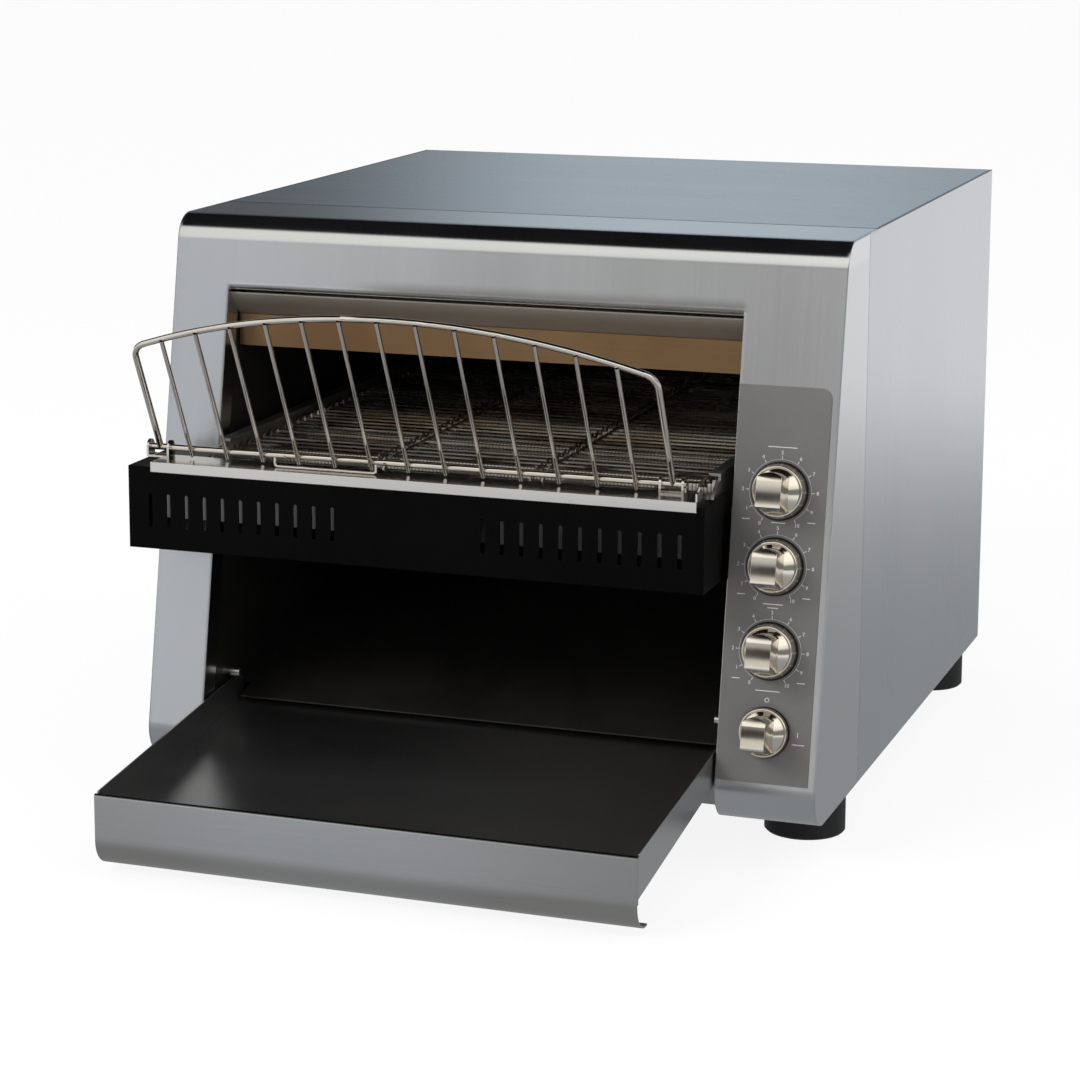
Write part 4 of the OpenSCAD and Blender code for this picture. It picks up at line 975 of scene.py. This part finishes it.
@dataclass
class Knob:
    """A plated control knob: a flared skirt with a raised rim, a dome, and a grip arched at one end.

    It is drawn on its own axis, with +Z out of the panel and +Y towards the arched end.
    """

    radius: float
    flare: float
    rim_height: float
    grip_width: float
    grip_height: float = 0.031
    rim_width: float = 0.0016
    dome: float = 0.005
    chin: float = 0.0046
    cap_tilt_deg: float = 20.0
    crown_deg: tuple[float, float] = (-2.0, 5.0)
    crown_steps: int = 7
    foot_round: float = 0.0003
    foot_band: float = 0.0010
    arch_inset: float = 0.0026
    foot_gap: float = 0.0004
    brow: float = 0.0081
    sunk: float = 0.001
    edge_round: float = 0.0007
    sharp_deg: float = 20.0
    smooth_deg: float = 14.0
    arch_steps: int = 16
    corner_steps: int = 4
    segments: int = 96

    @property
    def well(self) -> float:
        """Radius inside the rim."""
        return self.radius - self.flare - self.rim_width

    @property
    def dish(self) -> float:
        """Height of the skirt just inside the rim."""
        return self.rim_height - self.rim_width / 2

    def skirt(self, shape: bmesh.types.BMesh) -> None:
        """Spins the skirt's outline, from its foot over the flare and rim to the middle of the dome.

        Args:
            shape: The shape it is added to.
        """
        r, bead, top, band = self.radius, self.rim_width / 2, self.radius - self.flare, self.foot_band
        outline = [(0.0, 0.0), (r - self.foot_round, 0.0), (r, self.foot_round), (r, band)]
        outline += [
            (top + self.flare * (1 - share) ** 2, band + (self.dish - band) * share)
            for share in (0.2, 0.4, 0.6, 0.8, 1.0)
        ]
        outline += [
            (top - bead + bead * math.cos(turn), self.dish + bead * math.sin(turn))
            for turn in (math.radians(d) for d in range(10, 180, 10))
        ]
        outline += [
            (self.well * share, self.dish + self.dome * (1 - share * share))
            for share in (1.0, 0.97, 0.9, 0.8, 0.65, 0.5, 0.35, 0.2, 0.0)
        ]
        points = [shape.verts.new((x, 0.0, z)) for x, z in outline]
        edges = [shape.edges.new(pair) for pair in zip(points, points[1:])]
        bmesh.ops.spin(
            shape, geom=points + edges, cent=(0, 0, 0), axis=(0, 0, 1), angle=2 * math.pi,
            steps=self.segments, use_merge=True,
        )
        bmesh.ops.remove_doubles(shape, verts=shape.verts, dist=MERGE_DISTANCE)

    def plan(self) -> list[tuple[float, float]]:
        """Outline of the grip seen from the front: straight flanks, an arched top and a rounded foot.

        Returns:
            The outline's points, in order.
        """
        half, arch, low = self.grip_width / 2, self.well - self.arch_inset, self.well - self.foot_gap
        reach, corner = math.asin(half / arch), math.asin(half / self.well)
        foot = math.acos(low / self.well)
        turns = [reach - 2 * reach * k / self.arch_steps for k in range(self.arch_steps + 1)]
        outline = [(arch * math.sin(turn), arch * math.cos(turn)) for turn in turns]
        sweep = [corner + (foot - corner) * k / self.corner_steps for k in range(self.corner_steps + 1)]
        outline += [(-self.well * math.sin(turn), -self.well * math.cos(turn)) for turn in sweep]
        outline += [(self.well * math.sin(turn), -self.well * math.cos(turn)) for turn in reversed(sweep)]
        return outline

    def tangent(self, centre: float, crown: float, turn: float, tilt: float) -> tuple[Vector, Vector]:
        """Plane through a point of the front's crown.

        Args:
            centre: Where the crown is highest, up the grip.
            crown: The crown's radius.
            turn: Angle of the point round the crown.
            tilt: Angle of the plane, leaning to the arched end.

        Returns:
            The point and the plane's normal.
        """
        drop = crown * (1 - math.cos(turn))
        point = Vector((0, centre + crown * math.sin(turn), self.grip_height - drop))
        return point, Vector((0, math.sin(tilt), math.cos(tilt)))

    def grip(self) -> bmesh.types.BMesh:
        """Shapes the grip: an upright bar, cut back at its front, its arch and its foot, with rounded edges.

        Returns:
            The grip as its own shape.
        """
        shape = bmesh.new()
        base = self.dish - self.sunk
        low_ring, high_ring = (
            [shape.verts.new((x, y, height)) for x, y in self.plan()] for height in (base, self.grip_height)
        )
        shape.faces.new(low_ring)
        shape.faces.new(high_ring[::-1])
        for k, corner in enumerate(low_ring):
            shape.faces.new((low_ring[k - 1], high_ring[k - 1], high_ring[k], corner))
        foot, crease = -(self.well - self.foot_gap), self.well - self.brow
        low, high = (math.radians(turn) for turn in self.crown_deg)
        crown = (crease - foot - self.chin) / (math.sin(high) - math.sin(low))
        centre = crease - crown * math.sin(high)
        turns = [low + (high - low) * (step + 0.5) / self.crown_steps for step in range(self.crown_steps)]
        cuts = [self.tangent(centre, crown, turn, turn) for turn in turns]
        cuts.append(self.tangent(centre, crown, high, math.radians(self.cap_tilt_deg)))
        steep = Vector((0, -(self.grip_height - self.rim_height), self.chin)).normalized()
        cuts.append((Vector((0, foot, self.rim_height)), steep))
        for point, normal in cuts:
            cut = bmesh.ops.bisect_plane(
                shape, geom=shape.verts[:] + shape.edges[:] + shape.faces[:],
                plane_co=point, plane_no=normal, clear_outer=True,
            )
            rim = [e for e in cut["geom_cut"] if isinstance(e, bmesh.types.BMEdge)]
            bmesh.ops.contextual_create(shape, geom=rim)
        bmesh.ops.remove_doubles(shape, verts=shape.verts, dist=MERGE_DISTANCE)
        bmesh.ops.recalc_face_normals(shape, faces=shape.faces)
        limit, floor = math.radians(self.sharp_deg), base + 10 * MERGE_DISTANCE
        sharp = [e for e in shape.edges if len(e.link_faces) == 2 and e.calc_face_angle(0.0) > limit]
        sharp = [e for e in sharp if max(v.co.z for v in e.verts) > floor]
        bmesh.ops.bevel(
            shape, geom=sharp, offset=self.edge_round, offset_type="OFFSET", segments=3, profile=0.5,
            affect="EDGES", material=-1, clamp_overlap=True,
        )
        return shape

    def build(self, name: str, place: Matrix, body: str, stands_for: str) -> None:
        """Makes the knob in place of the plain one.

        Args:
            name: The piece's name.
            place: Where the knob's axis meets the underside of its skirt.
            body: The body it turns with.
            stands_for: The piece it replaces.
        """
        shape = self.grip()
        self.skirt(shape)
        shape = in_fixed_order(shape)
        bmesh.ops.transform(shape, matrix=place, verts=shape.verts)
        knob = add_piece(name, shape, NICKEL, body)
        smooth_by_angle(knob, self.smooth_deg)
        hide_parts(stands_for)


DIAL_KNOB = Knob(radius=0.0189, flare=0.0023, rim_height=0.009, grip_width=0.0165)
POWER_KNOB = Knob(radius=0.0166, flare=0.0008, rim_height=0.006, grip_width=0.0155)


@dataclass
class Controls:
    """Overlay, dials and the marks printed round them."""

    lean_deg: float = FACE_LEAN_DEG
    foot: tuple[float, float] = FACE_FOOT
    knob_x: float = 0.200
    heights: tuple[float, ...] = (0.0640, 0.1162, 0.1704, 0.2188)
    dials: tuple[str, ...] = ("power", "bottom_heat", "top_heat", "speed")
    overlay: float = 0.0008
    knob_air: float = 0.0007
    tick_inner: float = 0.0204
    tick_outer: float = 0.0226
    digit_radius: float = 0.0246
    digit_height: float = 0.0025
    letter_height: float = 0.0032
    line: float = 0.0005
    tick_width: float = 0.0004
    ring_width: float = 0.00016
    ring_overlap: float = 1.03
    chords: int = 60
    first_deg: float = 150.0
    sweep_deg: float = 300.0
    top_number: int = 10
    end_bars: tuple[tuple[float, float], ...] = ((-0.0215, -0.0190), (0.0215, -0.0190))
    end_bar_width: float = 0.0052
    caption_rows: tuple[tuple[float, float], ...] = (
        (0.2470, 0.019), (0.1985, 0.009), (0.1462, 0.013), (0.1438, 0.007), (0.0905, 0.016),
    )
    power_letters: tuple[tuple[str, float, float], ...] = (("O", 0.0, 0.0205), ("I", 0.0215, 0.0))
    power_bar: tuple[float, float] = (0.0222, -0.0062)
    power_bar_width: float = 0.0080
    finishes: dict[str, Finish] = field(
        default_factory=lambda: {
            "control_overlay": OVERLAY,
            "speed_control": BOARD,
            "top_heat_switch": BLACK_MOULDING,
            "bottom_heat_switch": BLACK_MOULDING,
            "power_switch": BLACK_MOULDING,
            "control_nuts": ZINC,
            "speed_spindle": TURNED,
            "top_heat_spindle": TURNED,
            "bottom_heat_spindle": TURNED,
            "power_spindle": TURNED,
            "speed_knob": NICKEL,
            "top_heat_knob": NICKEL,
            "bottom_heat_knob": NICKEL,
            "power_knob": NICKEL,
        }
    )

    def on_face(self, x: float, height: float, out: float) -> Matrix:
        """Place over the panel's surface, with +Y up the face and +Z out of it.

        Args:
            x: Distance from the machine's middle.
            height: Distance up the face.
            out: Distance out of the steel.

        Returns:
            The placement matrix.
        """
        turn = Matrix.Rotation(math.radians(90.0 - self.lean_deg), 4, "X")
        base = Matrix.Translation((0.0, *self.foot))
        return base @ turn @ Matrix.Translation((x, height, out))

    @staticmethod
    def bar(shape: bmesh.types.BMesh, place: Matrix, width: float, height: float) -> None:
        """Adds a printed bar centred on its place.

        Args:
            shape: The shape it is added to.
            place: Where it lies.
            width: Size across.
            height: Size up.
        """
        raised = place @ Matrix.Translation((0, 0, PRINT_FILM / 2))
        bmesh.ops.create_cube(
            shape, size=1.0, matrix=raised @ Matrix.Diagonal((width, height, PRINT_FILM, 1.0))
        )

    @staticmethod
    def numeral(shape: bmesh.types.BMesh, words: str, place: Matrix, size: float) -> None:
        """Adds plain characters as a thin print.

        Args:
            shape: The shape they are added to.
            words: The characters.
            place: Their middle.
            size: Their height.
        """
        curve = bpy.data.curves.new("numeral", "FONT")
        curve.body = words
        curve.size = size * TYPE_SCALE
        curve.align_x = "CENTER"
        curve.align_y = "CENTER"
        curve.extrude = PRINT_FILM / 2
        curve.resolution_u = 2
        holder = bpy.data.objects.new("numeral", curve)
        bpy.context.scene.collection.objects.link(holder)
        mesh = bpy.data.meshes.new_from_object(holder.evaluated_get(bpy.context.evaluated_depsgraph_get()))
        bpy.data.objects.remove(holder)
        bpy.data.curves.remove(curve)
        mesh.transform(place @ Matrix.Translation((0, 0, PRINT_FILM / 2)))
        shape.from_mesh(mesh)
        bpy.data.meshes.remove(mesh)

    def ring(self, shape: bmesh.types.BMesh, middle: Matrix) -> None:
        """Prints the thin circle that the ticks stand on, open between 10 and 0.

        Args:
            shape: The shape the print is added to.
            middle: The dial's middle.
        """
        step = math.radians(self.sweep_deg) / self.chords
        for number in range(self.chords):
            turn = math.radians(self.first_deg) - step * (number + 0.5)
            spin = Matrix.Rotation(turn, 4, "Z") @ Matrix.Translation((0.0, self.tick_inner, 0.0))
            self.bar(shape, middle @ spin, self.tick_inner * step * self.ring_overlap, self.ring_width)

    def scale_marks(self, shape: bmesh.types.BMesh, middle: Matrix) -> None:
        """Prints a circle, eleven ticks and the numbers 0 to 10 round a dial, with plain caption bars.

        Args:
            shape: The shape the print is added to.
            middle: The dial's middle.
        """
        self.ring(shape, middle)
        tick = (self.tick_inner + self.tick_outer) / 2
        for number in range(self.top_number + 1):
            turn = math.radians(self.first_deg - self.sweep_deg / self.top_number * number)
            spin = Matrix.Rotation(turn, 4, "Z") @ Matrix.Translation((0.0, tick, 0.0))
            self.bar(shape, middle @ spin, self.tick_width, self.tick_outer - self.tick_inner)
            at = Vector((-math.sin(turn), math.cos(turn), 0.0)) * self.digit_radius
            self.numeral(shape, str(number), middle @ Matrix.Translation(at), self.digit_height)
        for x, y in self.end_bars:
            self.bar(shape, middle @ Matrix.Translation((x, y, 0.0)), self.end_bar_width, self.line)

    def captions(self, shape: bmesh.types.BMesh) -> None:
        """Prints the plain bars that stand where each dial's caption goes.

        Args:
            shape: The shape the print is added to.
        """
        for height, width in self.caption_rows:
            self.bar(shape, self.on_face(self.knob_x, height, self.overlay), width, self.line)

    def marks(self) -> None:
        """Prints the dials' numbers and the power switch's positions."""
        shape = bmesh.new()
        for height in self.heights[1:]:
            self.scale_marks(shape, self.on_face(self.knob_x, height, self.overlay))
        self.captions(shape)
        power = self.on_face(self.knob_x, self.heights[0], self.overlay)
        for words, x, y in self.power_letters:
            self.numeral(shape, words, power @ Matrix.Translation((x, y, 0.0)), self.letter_height)
        self.bar(shape, power @ Matrix.Translation((*self.power_bar, 0.0)), self.power_bar_width, self.line)
        add_piece("dial_marks", shape, PRINT, "housing")

    def knobs(self) -> None:
        """Puts a knob on each spindle."""
        for dial, height in zip(self.dials, self.heights):
            place = self.on_face(self.knob_x, height, self.overlay + self.knob_air)
            knob = POWER_KNOB if dial == "power" else DIAL_KNOB
            knob.build(f"{dial}_grip_knob", place, f"{dial}_dial", f"{dial}_knob")

    def build(self, frame: dict) -> None:
        """Dresses the controls, prints the panel and fits the knobs.

        Args:
            frame: The loaded model.
        """
        dress(frame, self.finishes)
        self.marks()
        self.knobs()


@dataclass
class Studio:
    """Pale floor, soft lamps, plain surroundings and the camera."""

    sensor_mm: float = 36.0
    sight: float = 100.0
    focal_px: float = 3095.325
    frame_px: float = 1080.0
    centre_px: tuple[float, float] = (447.7245, 432.0)
    camera_at: Triple = (0.68244, -2.04935, 0.64937)
    yaw: float = -0.35939
    pitch: float = -0.18871
    roll: float = -0.00179
    floor_size: float = 60.0
    floor_glow: float = 0.88
    ambient: float = 0.80
    cloth: Colour = (0.92, 0.92, 0.92)
    # Colour of the painted shade that metal reflects from the floor near the machine.
    near_floor: Colour = (0.37, 0.38, 0.385)
    near_reach: tuple[float, float] = (0.04, 3.2)
    ceiling: Colour = (0.006, 0.006, 0.007)
    left_wall: Colour = (0.80, 0.835, 0.895)
    right_wall: Colour = (0.235, 0.24, 0.245)
    light_card: Colour = (0.86, 0.83, 0.77)
    dark_card: Colour = (0.05, 0.045, 0.04)
    window: Colour = (1.16, 1.14, 1.05)
    high_window: Colour = (1.45, 1.42, 1.34)
    rear_left: Colour = (0.10, 0.11, 0.12)
    rear_middle: Colour = (0.54, 0.61, 0.67)
    rear_right: Colour = (0.40, 0.45, 0.50)
    lamp_aim: Triple = (0.0, 0.0, 0.2)

    def camera(self) -> None:
        """Makes the camera from its place, turn and focal length in pixels."""
        data = bpy.data.cameras.new("camera")
        data.sensor_width = self.sensor_mm
        data.lens = self.focal_px / self.frame_px * data.sensor_width
        data.shift_x = (self.frame_px / 2 - self.centre_px[0]) / self.frame_px
        data.shift_y = (self.centre_px[1] - self.frame_px / 2) / self.frame_px
        data.clip_end = self.sight
        level = math.cos(self.pitch)
        ahead = Vector((math.sin(self.yaw) * level, math.cos(self.yaw) * level, math.sin(self.pitch)))
        across = Vector((math.cos(self.yaw), -math.sin(self.yaw), 0.0))
        up = across.cross(ahead)
        right = across * math.cos(self.roll) + up * math.sin(self.roll)
        above = up * math.cos(self.roll) - across * math.sin(self.roll)
        turn = Matrix((right, above, -ahead)).transposed().to_4x4()
        holder = bpy.data.objects.new("camera", data)
        bpy.context.scene.collection.objects.link(holder)
        holder.matrix_world = Matrix.Translation(self.camera_at) @ turn
        bpy.context.scene.camera = holder

    @staticmethod
    def plain_sight(graph: NodeGraph) -> Value:
        """One for camera and transmission rays, else zero.

        Args:
            graph: The graph it is worked out in.

        Returns:
            The value.
        """
        path = graph.node("ShaderNodeLightPath", {}, {})
        seen = Value(graph, path.outputs["Is Camera Ray"]) + Value(graph, path.outputs["Is Transmission Ray"])
        return seen.clamp()

    @staticmethod
    def mirrored(graph: NodeGraph) -> Value:
        """One for glossy rays, else zero."""
        return Value(graph, graph.node("ShaderNodeLightPath", {}, {}).outputs["Is Glossy Ray"])

    def floor(self) -> None:
        """Makes the pale floor, which keeps a soft shadow, with painted shade in the metal's reflections:
        glossy rays see it dimmer near the machine.
        """
        shape = bmesh.new()
        bmesh.ops.create_grid(shape, x_segments=2, y_segments=2, size=self.floor_size / 2)
        mesh = bpy.data.meshes.new("floor")
        shape.to_mesh(mesh)
        shape.free()
        floor = bpy.data.objects.new("floor", mesh)
        bpy.context.scene.collection.objects.link(floor)
        material = bpy.data.materials.new("pale_floor")
        material.use_nodes = True
        graph = NodeGraph(material.node_tree)
        cloth = graph.node("ShaderNodeBsdfDiffuse", {}, {"Color": self.cloth})
        glow = graph.node("ShaderNodeEmission", {}, {"Color": WHITE, "Strength": 1.0})
        seen = graph.node(
            "ShaderNodeMixShader", {},
            {0: self.plain_sight(graph) * self.floor_glow, 1: cloth.outputs[0], 2: glow.outputs[0]},
        )
        # Painted shade in reflections: the floor that glossy rays see is dimmer near the machine.
        across, along = graph.axis("X"), graph.axis("Y")
        away = (across * across + along * along).ramp(*self.near_reach)
        tint = graph.blend(away, self.near_floor, WHITE)
        reflected = graph.node("ShaderNodeEmission", {}, {"Color": tint, "Strength": 1.0})
        mix = graph.node(
            "ShaderNodeMixShader", {}, {0: self.mirrored(graph), 1: seen.outputs[0], 2: reflected.outputs[0]}
        )
        graph.node("ShaderNodeOutputMaterial", {}, {"Surface": mix.outputs[0]})
        mesh.materials.append(material)

    def room(self, graph: NodeGraph) -> bpy.types.NodeSocket:
        """Colour of the studio that polished metal reflects, by direction.

        Args:
            graph: The world's graph.

        Returns:
            The colour socket.
        """
        direction = graph.node("ShaderNodeTexCoord", {}, {}).outputs["Generated"]
        parts = graph.node("ShaderNodeSeparateXYZ", {}, {"Vector": direction})
        right, back, up = (Value(graph, parts.outputs[name]) for name in "XYZ")
        front = graph.blend(right.ramp(-0.52, -0.08), self.left_wall, self.right_wall)
        aside = right.ramp(-0.42, -0.34) * right.ramp(-0.14, -0.06, (1.0, 0.0))
        low = graph.blend(aside * up.ramp(0.10, 0.125, (1.0, 0.0)), front, self.light_card)
        band = up.ramp(0.115, 0.13) * up.ramp(0.20, 0.23, (1.0, 0.0))
        low = graph.blend(aside * band, low, self.dark_card)
        window = graph.blend(up.ramp(0.20, 0.34), low, self.window)
        window = graph.blend(up.ramp(0.36, 0.50) * right.ramp(-0.5, 0.1), window, self.high_window)
        window = graph.blend(up.ramp(0.74, 0.82), window, self.ceiling)
        rear = graph.blend(right.ramp(-0.40, -0.30), self.rear_left, self.rear_middle)
        rear = graph.blend(right.ramp(-0.25, -0.15), rear, self.rear_right)
        rear = graph.blend(up.ramp(0.42, 0.60), rear, self.ceiling)
        return graph.blend(back.ramp(-0.15, 0.15), window, rear)

    def surroundings(self) -> None:
        """Sets the world: white to the eye, even light on matt surfaces, and a studio to reflect in metal."""
        world = bpy.data.worlds.new("studio")
        bpy.context.scene.world = world
        world.use_nodes = True
        graph = NodeGraph(world.node_tree)
        even = graph.node("ShaderNodeBackground", {}, {"Color": WHITE, "Strength": self.ambient})
        white = graph.node("ShaderNodeBackground", {}, {"Color": WHITE, "Strength": 1.0})
        room = graph.node("ShaderNodeBackground", {}, {"Color": self.room(graph), "Strength": 1.0})
        seen = graph.node(
            "ShaderNodeMixShader", {}, {0: self.plain_sight(graph), 1: even.outputs[0], 2: white.outputs[0]}
        )
        mix = graph.node(
            "ShaderNodeMixShader", {}, {0: self.mirrored(graph), 1: seen.outputs[0], 2: room.outputs[0]}
        )
        graph.node("ShaderNodeOutputWorld", {}, {"Surface": mix.outputs[0]})

    def lamp(self, name: str, at: Triple, size: tuple[float, float], watts: float) -> None:
        """Adds a soft rectangular lamp aimed at the machine.

        Args:
            name: The lamp's name.
            at: Its place.
            size: Its width and height.
            watts: Its power.
        """
        data = bpy.data.lights.new(name, "AREA")
        data.shape = "RECTANGLE"
        data.size, data.size_y = size
        data.energy = watts
        holder = bpy.data.objects.new(name, data)
        bpy.context.scene.collection.objects.link(holder)
        aim = Vector(self.lamp_aim) - Vector(at)
        holder.location = at
        holder.rotation_mode = "QUATERNION"
        holder.rotation_quaternion = aim.to_track_quat("-Z", "Y")
        holder.visible_glossy = False

    def build(self) -> None:
        """Makes the camera, the floor, the surroundings and the lamps."""
        self.camera()
        self.floor()
        self.surroundings()
        self.lamp("key_lamp", (-1.6, -2.3, 2.0), (1.8, 1.2), 60.0)
        self.lamp("side_lamp", (2.6, 0.2, 1.6), (1.4, 1.8), 26.0)
        bpy.context.scene.view_settings.view_transform = "Standard"


def main() -> None:
    """Builds the looks round the loaded model."""
    logging.basicConfig(level=logging.INFO, format="%(name)s: %(message)s")
    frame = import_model()
    Studio().build()
    for part in (Shell(), Feeding(), Chamber(), Cooling(), Controls()):
        part.build(frame)


if __name__ == "__main__":
    main()
